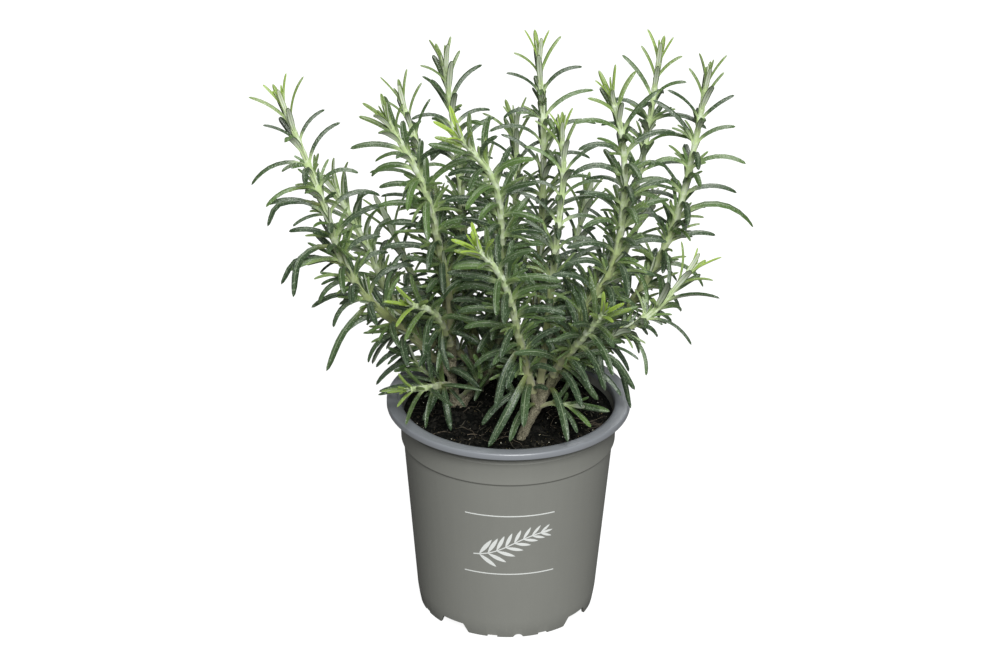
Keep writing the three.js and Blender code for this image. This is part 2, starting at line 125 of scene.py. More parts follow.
class SoilSettings(bpy.types.PropertyGroup):
    """Sizes and colours of the potting soil."""

    edge_height: length("Height at the wall", 104, "Top of the soil beside the wall")
    middle_height: length("Height in the middle", 105.2, "Top of the soil at the pot's axis")
    crumb: length("Crumb", 1.5, "Usual half length of a crumb lying on the soil")
    dark: colour("Moist soil", "090b09", "Colour of the moist soil")
    brown: colour("Crumbs", "252420", "Colour of the browner crumbs")
    fibre: colour("Fibres", "3b382f", "Colour of the short wood fibres")
    root: colour("Fine roots", "6a6052", "Colour of the fine roots and dry fibres")
    mineral: colour("Mineral", "c9c5b4", "Colour of the pale mineral grains")
    dry: colour("Dry specks", "75694a", "Colour of the smallest dry bits")


class StemSettings(bpy.types.PropertyGroup):
    """Sizes and colours of the stems."""

    wood_radius: length("Wood radius", 2.8, "Of the trunks that are rooted in the soil")
    branch_radius: length("Branch radius", 2.4, "Of the brown first stretch of each stem")
    base_radius: length("Base radius", 2.2, "Where the leaves begin")
    tip_radius: length("Tip radius", 1.3, "At the growing tip")
    young: colour("Young stem", "bace94", "Light green stem under its down")
    down: colour("Down", "dde7d1", "Whitish down on the young stem")
    old: colour("Older stem", "7d8850", "Stem where it starts to turn woody")
    bark: colour("Bark", "96917a", "Grey-brown bark")
    dry_bark: colour("Dry bark", "b2ac93", "The palest patches of the bark")
    crack: colour("Cracks", "4c4839", "Bottom of the cracks in the bark")


class LeafSettings(bpy.types.PropertyGroup):
    """Sizes and colours of the leaves."""

    young_length: length("Young length", 13, "Of a leaf at the growing tip")
    full_length: length("Full length", 27, "Of a full-grown leaf")
    low_length: length("Low length", 33, "Of a full-grown leaf low on the bush")
    width: length("Width", 1.4, "Of a leaf, besides a tenth of its length")
    thickness: length("Thickness", 1.5, "From the groove to the rolled edges")
    mature: colour("Mature leaf", "354a2b", "Upper side of a full-grown leaf")
    oldest: colour("Oldest leaf", "384a35", "Upper side of the leaves low on the stems")
    lighter: colour("Lighter mature leaf", "617f3f", "Upper side of the lightest full-grown leaves")
    young: colour("Young leaf", "6f8450", "Upper side of a young leaf")
    bright: colour("Bright tip", "9fbc4a", "Upper side of the youngest leaves in full light")
    midrib: colour("Groove", "b9c9a4", "Pale line along the upper side")
    felt: colour("Felt", "d0dbc2", "The felted underside")
    young_felt: colour("Young felt", "e0ebcd", "The underside of a young leaf")
    # Pale dots on the upper side: partly tiny hairs, partly painted highlight glints.
    bloom: colour("Bloom", "a9b9a0", "The fine pale dots of the upper side")


class StageSettings(bpy.types.PropertyGroup):
    """The floor, the light and the camera."""

    floor: colour("Floor", "7a7a79", "The plain floor, which also glows white")
    floor_clouds: colour("Floor clouds", "73736f", "The faint clouds of the floor")
    sky: share("Sky", 0.11, "Strength of the even light from all round")
    distance: length("Camera distance", 1800, "From the camera to the middle of the view")
    focal: bpy.props.FloatProperty(
        name="Focal length", description="Of the camera's lens, in millimetres", default=132.66)
    elevation: bpy.props.FloatProperty(
        name="Elevation", description="Angle at which the camera looks down",
        default=math.radians(26.5), subtype="ANGLE")
    roll: bpy.props.FloatProperty(
        name="Roll", description="Turn of the camera about its line of sight",
        default=math.radians(0.6), subtype="ANGLE")


# ---------------------------------------------------------------- modelling by hand

def start(name, add, **settings):
    """Adds a primitive, with its place in its mesh, and opens it for editing."""
    bpy.ops.object.select_all(action="DESELECT")
    add(**settings)
    piece = bpy.context.object
    piece.name = piece.data.name = name
    bpy.ops.object.transform_apply(location=True, rotation=True, scale=True)
    bpy.ops.object.mode_set(mode="EDIT")
    return piece


def leave_editing():
    bpy.ops.object.mode_set(mode="OBJECT")


def pick(piece, test, kind="VERT"):
    """Selects the corners, edges or faces of the open mesh whose corners all pass the test."""
    bpy.ops.mesh.select_mode(type=kind)
    bpy.ops.mesh.select_all(action="DESELECT")
    mesh = bmesh.from_edit_mesh(piece.data)
    chosen = {corner for corner in mesh.verts if test(corner.co)}
    parts = {"VERT": mesh.verts, "EDGE": mesh.edges, "FACE": mesh.faces}[kind]
    for part in parts:
        corners = [part] if kind == "VERT" else part.verts
        if all(corner in chosen for corner in corners):
            part.select_set(True)
    mesh.select_flush_mode()
    bmesh.update_edit_mesh(piece.data)


def pick_everything():
    bpy.ops.mesh.select_all(action="SELECT")


def pick_ring(piece, radius, height):
    """Selects the ring of edges at one radius and height round the axis."""
    def on_ring(place):
        return abs(place.z - height) < TOUCH and abs(place.xy.length - radius) < TOUCH
    pick(piece, on_ring, "EDGE")


def scale_round(place, *factors):
    bpy.ops.transform.resize(value=factors, center_override=place)


def move_by(*way):
    bpy.ops.transform.translate(value=way)


def extrude_ring(ring, following):
    """Pulls the next ring of a turned wall out of the chosen one."""
    (radius, height), (next_radius, next_height) = ring[:2], following[:2]
    bpy.ops.mesh.extrude_region_move(TRANSFORM_OT_translate={"value": (0, 0, next_height - height)})
    growth = next_radius / radius
    scale_round((0, 0, next_height), growth, growth, 1)


def tidy_normals():
    """Merges doubles and points every face of the open mesh outwards."""
    pick_everything()
    bpy.ops.mesh.remove_doubles(threshold=TOUCH)
    bpy.ops.mesh.normals_make_consistent(inside=False)


def choose(pieces):
    bpy.ops.object.select_all(action="DESELECT")
    for piece in pieces:
        piece.select_set(True)
    bpy.context.view_layer.objects.active = pieces[0]


def apply_modifier(piece, kind, **settings):
    """Gives the piece a modifier and applies it."""
    choose([piece])
    modifier = piece.modifiers.new(kind.title(), kind)
    for name, value in settings.items():
        setattr(modifier, name, value)
    bpy.ops.object.modifier_apply(modifier=modifier.name)


def join(pieces, name):
    choose(pieces)
    bpy.ops.object.join()
    pieces[0].name = pieces[0].data.name = name
    return pieces[0]


def copied(pattern, *moves):
    """Copies a shape once for each move, each copy with its own mesh, and removes the pattern."""
    copies = []
    for move in moves:
        copy = pattern.copy()
        copy.data = pattern.data.copy()
        copy.data.transform(move)
        bpy.context.collection.objects.link(copy)
        copies.append(copy)
    bpy.data.objects.remove(pattern)
    return copies


def turned_by(degrees):
    return Matrix.Rotation(math.radians(degrees), 4, "Z")


def put_on(piece, *finishes):
    for finish in finishes:
        piece.data.materials.append(finish.material)


def settle(piece, finishes, slot, *nodes, smooth=35):
    """Finishes a piece, puts it in its place in the frame, and hides the solids that it stands for."""
    put_on(piece, *finishes)
    piece.data.transform(Matrix.Translation(AXIS))
    choose([piece])
    bpy.ops.object.shade_smooth_by_angle(angle=math.radians(smooth))
    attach(piece, "root")
    if nodes:
        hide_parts(*nodes)


# ---------------------------------------------------------------- materials

class Value:
    """A number that varies over a surface. Sums and products with it add Math nodes."""

    def __init__(self, finish, socket):
        self.finish = finish
        self.socket = socket

    def math(self, operation, *terms):
        node = self.finish.add("ShaderNodeMath", {"operation": operation}, dict(enumerate(terms)))
        return Value(self.finish, node.outputs[0])

    def __add__(self, other):
        return self.math("ADD", self, other)

    __radd__ = __add__

    def __sub__(self, other):
        return self.math("SUBTRACT", self, other)

    def __rsub__(self, other):
        return self.math("SUBTRACT", other, self)

    def __mul__(self, other):
        return self.math("MULTIPLY", self, other)

    __rmul__ = __mul__

    def __abs__(self):
        return self.math("ABSOLUTE", self)

    def step(self, low, high):
        """0 below low, 1 above high, and smooth between them; the other way round if low is higher."""
        flip = low > high
        low, high = sorted((low, high))
        node = self.finish.add(
            "ShaderNodeMapRange", {"interpolation_type": "SMOOTHSTEP"},
            {"Value": self, "From Min": low, "From Max": high,
             "To Min": float(flip), "To Max": float(not flip)})
        return Value(self.finish, node.outputs["Result"])


class Finish:
    """A material, made node by node. What is the same all over is set on the shader itself."""

    def __init__(self, name, **constants):
        self.material = bpy.data.materials.new(name)
        self.material.use_nodes = True
        self.tree = self.material.node_tree
        self.shader = self.tree.nodes["Principled BSDF"]
        self.place = self.add("ShaderNodeTexCoord").outputs["Object"]
        for socket, value in constants.items():
            self.shader.inputs[socket.replace("_", " ")].default_value = value

    def add(self, kind, settings=(), sockets=()):
        """Adds a node: its settings come first, then the values or links of its sockets."""
        node = self.tree.nodes.new(kind)
        for name, value in dict(settings).items():
            setattr(node, name, value)
        for key, value in dict(sockets).items():
            self.feed(self.socket_of(node, key), value)
        return node

    @staticmethod
    def socket_of(node, key):
        if isinstance(key, int):
            return node.inputs[key]
        return next(socket for socket in node.inputs if key in (socket.identifier, socket.name))

    def feed(self, socket, value):
        if isinstance(value, Value):
            value = value.socket
        if isinstance(value, bpy.types.NodeSocket):
            self.tree.links.new(value, socket)
        elif socket.type == "RGBA":
            socket.default_value = (*value[:3], 1)
        else:
            socket.default_value = value

    def set(self, socket, value):
        self.feed(self.shader.inputs[socket], value)

    def noise(self, scale, detail=3, place=None, distortion=0):
        node = self.add("ShaderNodeTexNoise", (), {
            "Vector": place or self.place, "Scale": scale, "Detail": detail, "Distortion": distortion})
        return Value(self, node.outputs["Fac"])

    def cells(self, scale, feature="F1", place=None):
        node = self.add("ShaderNodeTexVoronoi", {"feature": feature}, {
            "Vector": place or self.place, "Scale": scale})
        return Value(self, node.outputs["Distance"])

    def stretched(self, scale, place=None):
        """The place, scaled differently along each axis."""
        node = self.add("ShaderNodeMapping", (), {"Vector": place or self.place, "Scale": scale})
        return node.outputs[0]

    def parts(self, vector):
        node = self.add("ShaderNodeSeparateXYZ", (), {0: vector})
        return [Value(self, socket) for socket in node.outputs]

    def attribute(self, name):
        return self.add("ShaderNodeAttribute", {"attribute_name": name}).outputs["Vector"]

    def mix(self, mask, first, second):
        """The first colour where the mask is 0 and the second where it is 1."""
        node = self.add("ShaderNodeMix", {"data_type": "RGBA"}, {
            "Factor_Float": mask, "A_Color": first, "B_Color": second})
        return next(socket for socket in node.outputs if socket.identifier == "Result_Color")

    def scaled(self, tone, factor):
        node = self.add("ShaderNodeVectorMath", {"operation": "SCALE"}, {0: tone, "Scale": factor})
        return node.outputs[0]

    def bump(self, height, distance):
        node = self.add("ShaderNodeBump", (), {"Height": height, "Distance": distance})
        self.set("Normal", node.outputs[0])


# ---------------------------------------------------------------- pot

ROUND = 144  # corners of the pot, seen from above
ROUNDING_STEPS = 3
WALL_BASE = 43.9  # radius of the straight wall, carried down to z = 0
WALL_TAPER = 0.0863  # growth of that radius for each millimetre of height
STEP_HEIGHT = 91  # the ledge on which pots rest when they are stacked
STEP_INSIDE = STEP_HEIGHT - 1.4  # lower end of the ledge on the inside
BAND_RADIUS = 52.9  # outside of the wall above the ledge
RIDGE_HEIGHT = 102.7  # the thin ridge round the band
FLOOR = 7.4  # underside of the raised floor
FLOOR_TOP = 8.8
FOOT_COUNT = 4
FIRST_FOOT = 8  # degrees from the front, towards +X
CUT_REACH = 12  # length of the cutters that go through the foot ring
CUT_CORNERS = 24  # of the round cutters
GAP_WIDTHS = (18.8, 12.4)  # between two feet: below the ground plane, and at the top of the gap
GAP_HEIGHT = 5
ARCH_RADIUS = 2.5
ARCH_HEIGHT = 2
SLOT_ANGLE = 17  # degrees from the middle of a foot to each of its slots
SLOT = (5, 1.2)  # width and height
DRAIN_RADIUS = 5
DRAIN_RING = 27  # from the axis to the outer drain holes
DRAIN_DEPTH = 6
RIM_DEPTH = 4  # height of the band that has the rim's finish, with its painted bluish sky tint


def wall_radius(height):
    return WALL_BASE + WALL_TAPER * height


def pot_rings(sizes):
    """Radius, height and rounding of each edge round the pot, from below the floor to above it."""
    foot, rim, wall, top = (size / MM for size in (
        sizes.foot_radius, sizes.rim_radius, sizes.wall, sizes.height))
    band_inner = BAND_RADIUS - wall
    rings = [
        (wall_radius(FLOOR) - wall - 0.6, FLOOR, 0.5),
        (foot - wall - 0.3, 0, 0.3),
        (foot, 0, 0.5),
        (wall_radius(8), 8, 2),
        (wall_radius(STEP_HEIGHT - 0.7), STEP_HEIGHT - 0.7, 0.5),
        (BAND_RADIUS, STEP_HEIGHT + 0.3, 0.4),
        (BAND_RADIUS + 0.15, RIDGE_HEIGHT - 0.6, 0),
        (BAND_RADIUS + 0.5, RIDGE_HEIGHT, 0.2),
        (BAND_RADIUS + 0.15, RIDGE_HEIGHT + 0.6, 0),
        (BAND_RADIUS + 0.3, top - 2.4, 0.4),
        (rim - 1.2, top - 1.7, 0.3),
        (rim - 1.2, top - 3.3, 0.2),
        (rim, top - 3.3, 0.4),
        (rim, top, 0.9),
        (rim - 5.6, top, 0.9),
        (rim - 7.6, top - 1.1, 0.9),
        (band_inner + 0.3, top - 4, 0),
        (band_inner, STEP_HEIGHT + 0.6, 0.4),
        (wall_radius(STEP_INSIDE) - wall, STEP_INSIDE, 0.4),
        (wall_radius(FLOOR_TOP) - wall, FLOOR_TOP, 0.8),
    ]
    return [tuple(number * MM for number in ring) for ring in rings]


def model_wall(sizes):
    """The pot's wall, pulled up ring by ring, with its edges rounded."""
    rings = pot_rings(sizes)
    piece = start(
        "nursery_pot", bpy.ops.mesh.primitive_circle_add, vertices=ROUND, radius=rings[0][0],
        location=(0, 0, rings[0][1]), fill_type="NOTHING")
    for ring, following in zip(rings, rings[1:]):
        extrude_ring(ring, following)
    for radius, height, _ in (rings[0], rings[-1]):
        pick_ring(piece, radius, height)
        bpy.ops.mesh.edge_face_add()
    for radius, height, rounding in rings:
        if rounding:
            pick_ring(piece, radius, height)
            bpy.ops.mesh.bevel(offset=rounding, segments=ROUNDING_STEPS, affect="EDGES")
    tidy_normals()
    leave_editing()
    return piece


def start_box(name, width, height, middle):
    """Starts a box-shaped cutter across the front of the foot ring."""
    return start(
        name, bpy.ops.mesh.primitive_cube_add, size=1, location=(0, -WALL_BASE * MM, middle * MM),
        scale=(width * MM, CUT_REACH * MM, height * MM))


def cut_gap():
    """A wedge-shaped cutter for the gap between two feet."""
    wide, narrow = GAP_WIDTHS
    piece = start_box("gap", wide, GAP_HEIGHT + 1, (GAP_HEIGHT - 1) / 2)
    pick(piece, lambda place: place.z > 0)
    scale_round((0, 0, 0), narrow / wide, 1, 1)
    leave_editing()
    return piece


def cut_round(name, radius, depth, place, lying=False):
    """A round cutter, either upright or lying across the wall."""
    piece = start(
        name, bpy.ops.mesh.primitive_cylinder_add, vertices=CUT_CORNERS, radius=radius * MM,
        depth=depth * MM, location=[number * MM for number in place],
        rotation=(math.pi / 2 if lying else 0, 0, 0))
    leave_editing()
    return piece


def cut_slot():
    """A flat cutter of which only the upper half meets a foot."""
    width, height = SLOT
    piece = start_box("slot", width, 2 * height, 0)
    leave_editing()
    return piece


def foot_cutters():
    """The gaps between the feet, the arch and two slots in each foot, and the drain holes."""
    feet = [FIRST_FOOT + i * 360 / FOOT_COUNT for i in range(FOOT_COUNT)]
    between = [turned_by(foot + 180 / FOOT_COUNT) for foot in feet]
    slots = [turned_by(foot + side * SLOT_ANGLE) for foot in feet for side in (-1, 1)]
    middles = [turned_by(foot) for foot in feet]
    arch_place = (0, -WALL_BASE, ARCH_HEIGHT - ARCH_RADIUS)
    return [
        *copied(cut_gap(), *between),
        *copied(cut_round("arch", ARCH_RADIUS, CUT_REACH, arch_place, lying=True), *middles),
        *copied(cut_slot(), *slots),
        *copied(cut_round("drain", DRAIN_RADIUS, DRAIN_DEPTH, (0, -DRAIN_RING, FLOOR)), *middles),
        cut_round("middle_drain", DRAIN_RADIUS, DRAIN_DEPTH, (0, 0, FLOOR)),
    ]


def pot_plastic(name, tone, dust_tone, roughness, shine):
    """Moulded plastic with a fine grain, faint upright streaks and a little dust at the feet."""
    finish = Finish(name, Specular_IOR_Level=shine)
    _, _, z = finish.parts(finish.place)
    clouds = finish.noise(35, 4)
    streaks = finish.noise(1, 2, finish.stretched((260, 260, 14)))
    grain = finish.noise(2600, 2)
    shade = 0.94 + clouds * 0.07 + streaks * 0.05
    dust = finish.noise(420, 4).step(0.6, 0.78) * z.step(0.02, 0) * 0.25
    finish.set("Base Color", finish.mix(dust, finish.scaled(tone, shade), dust_tone))
    finish.set("Roughness", roughness + clouds * 0.1 + grain * 0.06)
    finish.bump(grain * 0.5 + streaks, 0.00006)
    return finish


def paint_rim(pot, rim_bottom):
    """Gives the rim's faces the second finish."""
    for face in pot.data.polygons:
        face.material_index = int(face.center.z > rim_bottom)


class ROSEMARY_OT_pot(bpy.types.Operator):
    """Models the pot: its wall pulled up ring by ring, then the feet and drain holes cut"""

    bl_idname = "rosemary.pot"
    bl_label = "Nursery Pot"

    def execute(self, context):
        sizes = context.scene.rosemary_pot
        pot = model_wall(sizes)
        cutters = join(foot_cutters(), "cutters")
        apply_modifier(pot, "BOOLEAN", object=cutters, operation="DIFFERENCE", solver="EXACT")
        bpy.data.objects.remove(cutters)
        paint_rim(pot, sizes.height - RIM_DEPTH * MM)
        finishes = [
            pot_plastic("matt_taupe_plastic", sizes.wall_colour, sizes.dust, 0.55, 0.25),
            # The rim's finish has a smoother gloss and the bluer colour, which is painted sky light.
            pot_plastic("smooth_rim_plastic", sizes.rim_colour_and_sky_tint, sizes.dust, 0.26, 0.8),
        ]
        settle(pot, finishes, "pot", "pot")
        return {"FINISHED"}


# ---------------------------------------------------------------- printed sprig

PRINT_TURN = 1.5  # degrees from the front
INK_DEPTH = (-0.04, 0.1)  # where the ink starts in the wall, and how thick it is
RULE_HEIGHT = 0.55
SPRIG_REACH = 0.42  # share of the rules' width that the sprig reaches from the middle, each way
SPRIG_SLOPE = 0.3
SPRIG_SWING = 1.8
SPRIG_WAVE = 7  # millimetres over which the printed stem bends
SPRIG_STEM = (1.9, 0.6)  # its length in reaches, and its height
SPRIG_PAIRS = 7
PAIR_REACH = 0.8  # share of the reach at which the first and the last leaves stand
INK_LEAF = (5.4, 0.32)  # half length of the first leaves, and how much shorter each next one is
INK_ANGLE = (46, 2)  # degrees of the first leaves from the stem, and how many fewer each next one has
INK_SLIM = 0.2  # width of a printed leaf against its length
INK_ROOT = 1.05  # from the stem to the middle of a leaf, in half lengths
LEAF_SPANS = 10  # stretches along a printed leaf
RULE_SPANS = 28  # and along a rule or the printed stem


def sprig_line(along):
    """Height of the printed stem over the print's middle, for a place along it."""
    return SPRIG_SLOPE * along + SPRIG_SWING * math.sin(along / SPRIG_WAVE)


def flat_leaf():
    """A pointed flat leaf, from -1 to 1 along X."""
    piece = start(
        "ink_leaf", bpy.ops.mesh.primitive_grid_add, x_subdivisions=LEAF_SPANS, y_subdivisions=2, size=2)
    for i in range(LEAF_SPANS + 1):
        column = -1 + 2 * i / LEAF_SPANS
        pick(piece, lambda place: abs(place.x - column) < TOUCH)
        scale_round((0, 0, 0), 1, math.cos(column * math.pi / 2) ** 0.8, 1)
    tidy_normals()
    leave_editing()
    return piece


def flat_strip(name, width, height):
    """A flat strip with enough cuts across it to follow the wall."""
    piece = start(
        name, bpy.ops.mesh.primitive_grid_add, x_subdivisions=RULE_SPANS, y_subdivisions=1, size=1)
    pick_everything()
    scale_round((0, 0, 0), width, height, 1)
    leave_editing()
    return piece


def leaf_moves(reach):
    """Where the printed leaves lie: in pairs along the stem, smaller towards the tip."""
    moves = []
    for i in range(SPRIG_PAIRS + 1):
        along = -reach * PAIR_REACH + i * reach * 2 * PAIR_REACH / SPRIG_PAIRS
        slope = math.atan2(sprig_line(along + 1) - sprig_line(along - 1), 2)
        size = (INK_LEAF[0] - INK_LEAF[1] * i) * MM
        root = Matrix.Translation((along * MM, sprig_line(along) * MM, 0))
        grow = Matrix.Translation((size * INK_ROOT, 0, 0)) @ Matrix.Diagonal((size, size * INK_SLIM, 1, 1))
        for side in (-1, 0, 1) if i == SPRIG_PAIRS else (-1, 1):
            turn = slope + side * math.radians(INK_ANGLE[0] - INK_ANGLE[1] * i)
            moves.append(root @ Matrix.Rotation(turn, 4, "Z") @ grow)
    return moves


def wrap_on_wall(piece, middle):
    """Rolls a flat drawing round the pot's wall."""
    for corner in piece.data.vertices:
        height = middle / MM + corner.co.y / MM
        radius = (wall_radius(height) + INK_DEPTH[0]) * MM
        angle = math.radians(PRINT_TURN) + corner.co.x / radius
        corner.co = (radius * math.sin(angle), -radius * math.cos(angle), height * MM)


def print_ink(sizes):
    finish = Finish("off_white_ink", Specular_IOR_Level=0.4)
    worn = finish.noise(900, 3).step(0.62, 0.8) * 0.25
    finish.set("Base Color", finish.mix(worn, sizes.ink, sizes.worn))
    finish.set("Roughness", 0.45 + worn * 0.3)
    return finish


class ROSEMARY_OT_print(bpy.types.Operator):
    """Draws a leafy sprig between two thin rules, and rolls it round the front of the pot"""

    bl_idname = "rosemary.print"
    bl_label = "Printed Sprig"

    def execute(self, context):
        sizes = context.scene.rosemary_print
        reach = sizes.width / MM * SPRIG_REACH
        rules = [Matrix.Translation((0, side * sizes.height / 2, 0)) for side in (-1, 1)]
        stem = flat_strip("ink_stem", SPRIG_STEM[0] * reach * MM, SPRIG_STEM[1] * MM)
        for corner in stem.data.vertices:
            corner.co.y += sprig_line(corner.co.x / MM) * MM
        drawing = join([
            stem,
            *copied(flat_strip("ink_rule", sizes.width, RULE_HEIGHT * MM), *rules),
            *copied(flat_leaf(), *leaf_moves(reach)),
        ], "printed_sprig")
        wrap_on_wall(drawing, sizes.middle)
        apply_modifier(drawing, "SOLIDIFY", thickness=INK_DEPTH[1] * MM, offset=1)
        bpy.ops.object.mode_set(mode="EDIT")
        pick_everything()
        bpy.ops.mesh.normals_make_consistent(inside=False)
        leave_editing()
        settle(drawing, [print_ink(sizes)], "pot")
        return {"FINISHED"}


# ---------------------------------------------------------------- paths and patterns

Station = namedtuple("Station", "place along side up distance")


def unit(vector):
    return vector / math.sqrt(vector @ vector)


def units(rows):
    """Each row scaled to length 1."""
    return rows / np.linalg.norm(rows, axis=1)[:, None]


def between(low, high, part):
    return low + (high - low) * part


def limited(number, low=0.0, high=1.0):
    return min(max(number, low), high)


class Path:
    """A smooth curve through a few places, in millimetres, that can be walked by distance."""

    CUTS = 200
    NEAR = 0.0001

    def __init__(self, places):
        places = np.array(places, float)
        self.knots = np.vstack([2 * places[0] - places[1], places, 2 * places[-1] - places[-2]])
        self.shares = np.linspace(0, 1, self.CUTS + 1)
        dots = np.array([self.point(part) for part in self.shares])
        self.walked = np.concatenate([[0], np.cumsum(np.linalg.norm(np.diff(dots, axis=0), axis=1))])
        self.length = self.walked[-1]

    def point(self, part):
        spans = len(self.knots) - 3
        index = min(int(part * spans), spans - 1)
        t = part * spans - index
        before, start_knot, end_knot, after = self.knots[index:index + 4]
        leaving = (end_knot - before) / 2
        arriving = (after - start_knot) / 2
        cubic = 2 * (start_knot - end_knot) + leaving + arriving
        square = 3 * (end_knot - start_knot) - 2 * leaving - arriving
        return start_knot + t * (leaving + t * (square + t * cubic))

    def stations(self, distances, facing=0.0):
        """Stations along the curve, each with a side that turns as little as it can."""
        side = np.array([math.cos(facing), math.sin(facing), 0])
        found = []
        for distance in distances:
            part = np.interp(limited(distance, 0, self.length), self.walked, self.shares)
            along = unit(self.point(min(part + self.NEAR, 1)) - self.point(max(part - self.NEAR, 0)))
            side = unit(side - along * (side @ along))
            found.append(Station(self.point(part), along, side, np.cross(along, side), distance))
        return found


def evenly(first, last, step):
    """Distances from first to last, in equal steps near the wanted one."""
    count = max(1, int((last - first) / step + 0.5))
    return [between(first, last, i / count) for i in range(count + 1)]


def rod_pattern(name, corners, cuts):
    """A straight rod of length and radius 1 along Z, with cuts across it; the pattern of stems."""
    piece = start(
        name, bpy.ops.mesh.primitive_cylinder_add, vertices=corners, radius=1, depth=1,
        location=(0, 0, 0.5))
    for height in cuts:
        pick_everything()
        bpy.ops.mesh.bisect(plane_co=(0, 0, height), plane_no=(0, 0, 1))
    return piece


def taken_off(piece):
    """A finished pattern's corners and faces; the object itself is removed."""
    leave_editing()
    corners = np.array([corner.co for corner in piece.data.vertices])
    faces = [tuple(face.vertices) for face in piece.data.polygons]
    bpy.data.objects.remove(piece)
    return corners, faces


def even_rod(name, corners, cuts):
    """The pattern of a rod that is cut into equal stretches."""
    return taken_off(rod_pattern(name, corners, [i / cuts for i in range(1, cuts)]))


class Heap:
    """Copies of patterns gathered into one mesh, with two vectors kept for each corner."""

    def __init__(self):
        self.corners, self.faces, self.places, self.kinds, self.slots = [], [], [], [], []
        self.count = 0

    def lay(self, corners, faces, place, kind, slot=0):
        """Adds a copy; place varies over it, kind is the same all over, slot is its material's."""
        self.corners.append(corners)
        self.faces += [tuple(corner + self.count for corner in face) for face in faces]
        self.places.append(np.broadcast_to(place, corners.shape))
        self.kinds.append(np.broadcast_to(kind, corners.shape))
        self.slots += [slot] * len(faces)
        self.count += len(corners)

    def piece(self, name):
        """The gathered copies, from millimetres to metres, as an object."""
        mesh = bpy.data.meshes.new(name)
        mesh.from_pydata(np.vstack(self.corners) * MM, [], self.faces)
        for label, rows in (("place", self.places), ("kind", self.kinds)):
            attribute = mesh.attributes.new(label, "FLOAT_VECTOR", "POINT")
            attribute.data.foreach_set("vector", np.vstack(rows).astype(np.float32).ravel())
        mesh.polygons.foreach_set("material_index", self.slots)
        piece = bpy.data.objects.new(name, mesh)
        bpy.context.collection.objects.link(piece)
        return piece


def laid_along(corners, places, widths, tops):
    """Lays a straight pattern along a line: its Z runs from 0 to 1 over the line's places."""
    index = np.clip(corners[:, 2], 0, 1) * (len(places) - 1)
    low = np.minimum(index.astype(int), len(places) - 2)
    part = (index - low)[:, None]

    def at(rows):
        return rows[low] * (1 - part) + rows[low + 1] * part
    return at(places) + at(widths) * corners[:, :1] + at(tops) * corners[:, 1:2]


def laid_round(corners, stations, radii):
    """Lays a round pattern along a stem's stations, with a radius at each of them."""
    radii = np.array(radii)[:, None]
    places = np.array([station.place for station in stations])
    sides = np.array([station.side for station in stations])
    ups = np.array([station.up for station in stations])
    return laid_along(corners, places, sides * radii, ups * radii)


# ---------------------------------------------------------------- soil

SOIL_ROUND = 72
SOIL_SPAN = 18
SOIL_CUTS = 5
SOIL_GAP = 0.3
SOIL_RADIUS = 52  # where the dome of the soil is as high as its edge
RELIEF = 0.9  # height of the large crumbs
RELIEF_ZONE = (50, 8)  # radius at which they end, and the stretch inside it over which they rise
ROUGH_SCALES = ((3.2, 1.5), (1.3, 0.9))  # size and height of the crumbs on the soil, in millimetres
ROUGH_ZONE = (50.5, 4)  # radius at which those end, and the stretch over which they rise
STREWN_RADIUS = 49.5  # loose bits start inside this radius
TURN_BACK = (49, 35.5)  # radius past which a strand is set back, and half the square it goes back to
STRAND_RADIUS = 50.5  # strands that reach past this radius are left out
STEP_SPREAD = (0.6, 1.3)  # shares by which chance changes a strand's steps
STRAND_TAPER = (0.7, 1, 0.3)  # of a strand: at its start, a fifth along it and at its end

# Least and most are half lengths of lumps, as shares of a crumb's. A strand's radii are those across it
# and upwards, step is the length of its steps, and cuts are the stretches of its mesh.
Lumps = namedtuple("Lumps", "count least most seed")
Strands = namedtuple("Strands", "count cuts steps step wander lift radii seed")
LUMPS = {
    "soil_crumbs": Lumps(2200, 0.15, 1.3, seed=11),
    "mineral_grains": Lumps(260, 0.08, 0.38, seed=12),
    "dry_specks": Lumps(1600, 0.06, 0.22, seed=15),
}
STRANDS = {
    "wood_fibres": Strands(260, 6, 5, 0.8, wander=0.25, lift=0.5, radii=(0.32, 0.14), seed=13),
    "fine_roots": Strands(22, 12, 14, 1.3, wander=0.5, lift=0.9, radii=(0.17, 0.15), seed=14),
}


def inside(x, y, zone):
    """0 past the zone's radius, growing to 1 over the zone's stretch inwards."""
    end, stretch = zone
    return limited((end - math.hypot(x, y)) / stretch)


def crumbs(x, y):
    """The large crumbs and hollows: a few crossing waves, flat at the wall."""
    waves = math.sin(x * 0.31 + y * 0.12) + math.sin(y * 0.37 - x * 0.16) + math.sin((x + y) * 0.53)
    return RELIEF * inside(x, y, RELIEF_ZONE) * waves / 2


def soil_height(sizes, x, y):
    part = math.hypot(x, y) / SOIL_RADIUS
    dome = between(sizes.middle_height / MM, sizes.edge_height / MM, part)
    return dome + crumbs(x, y)


def model_soil(sizes):
    """The whole ball of soil, with a finely divided top and a plain side that fills the pot."""
    edge = sizes.edge_height
    band = (BAND_RADIUS - WALL - SOIL_GAP) * MM
    low = FLOOR_TOP + SOIL_GAP
    piece = start(
        "potting_soil", bpy.ops.mesh.primitive_circle_add, vertices=SOIL_ROUND, radius=band,
        location=(0, 0, edge), fill_type="NOTHING")
    bpy.ops.mesh.fill_grid(span=SOIL_SPAN)
    pick_everything()
    bpy.ops.mesh.subdivide(number_cuts=SOIL_CUTS)
    bpy.ops.mesh.region_to_loop()
    rings = [
        (band, edge),
        (band, (STEP_HEIGHT + 0.9) * MM),
        ((wall_radius(STEP_INSIDE) - WALL - SOIL_GAP) * MM, STEP_INSIDE * MM),
        ((wall_radius(low) - WALL - SOIL_GAP) * MM, low * MM),
    ]
    for ring, following in zip(rings, rings[1:]):
        extrude_ring(ring, following)
    bpy.ops.mesh.edge_face_add()
    tidy_normals()
    leave_editing()
    return piece


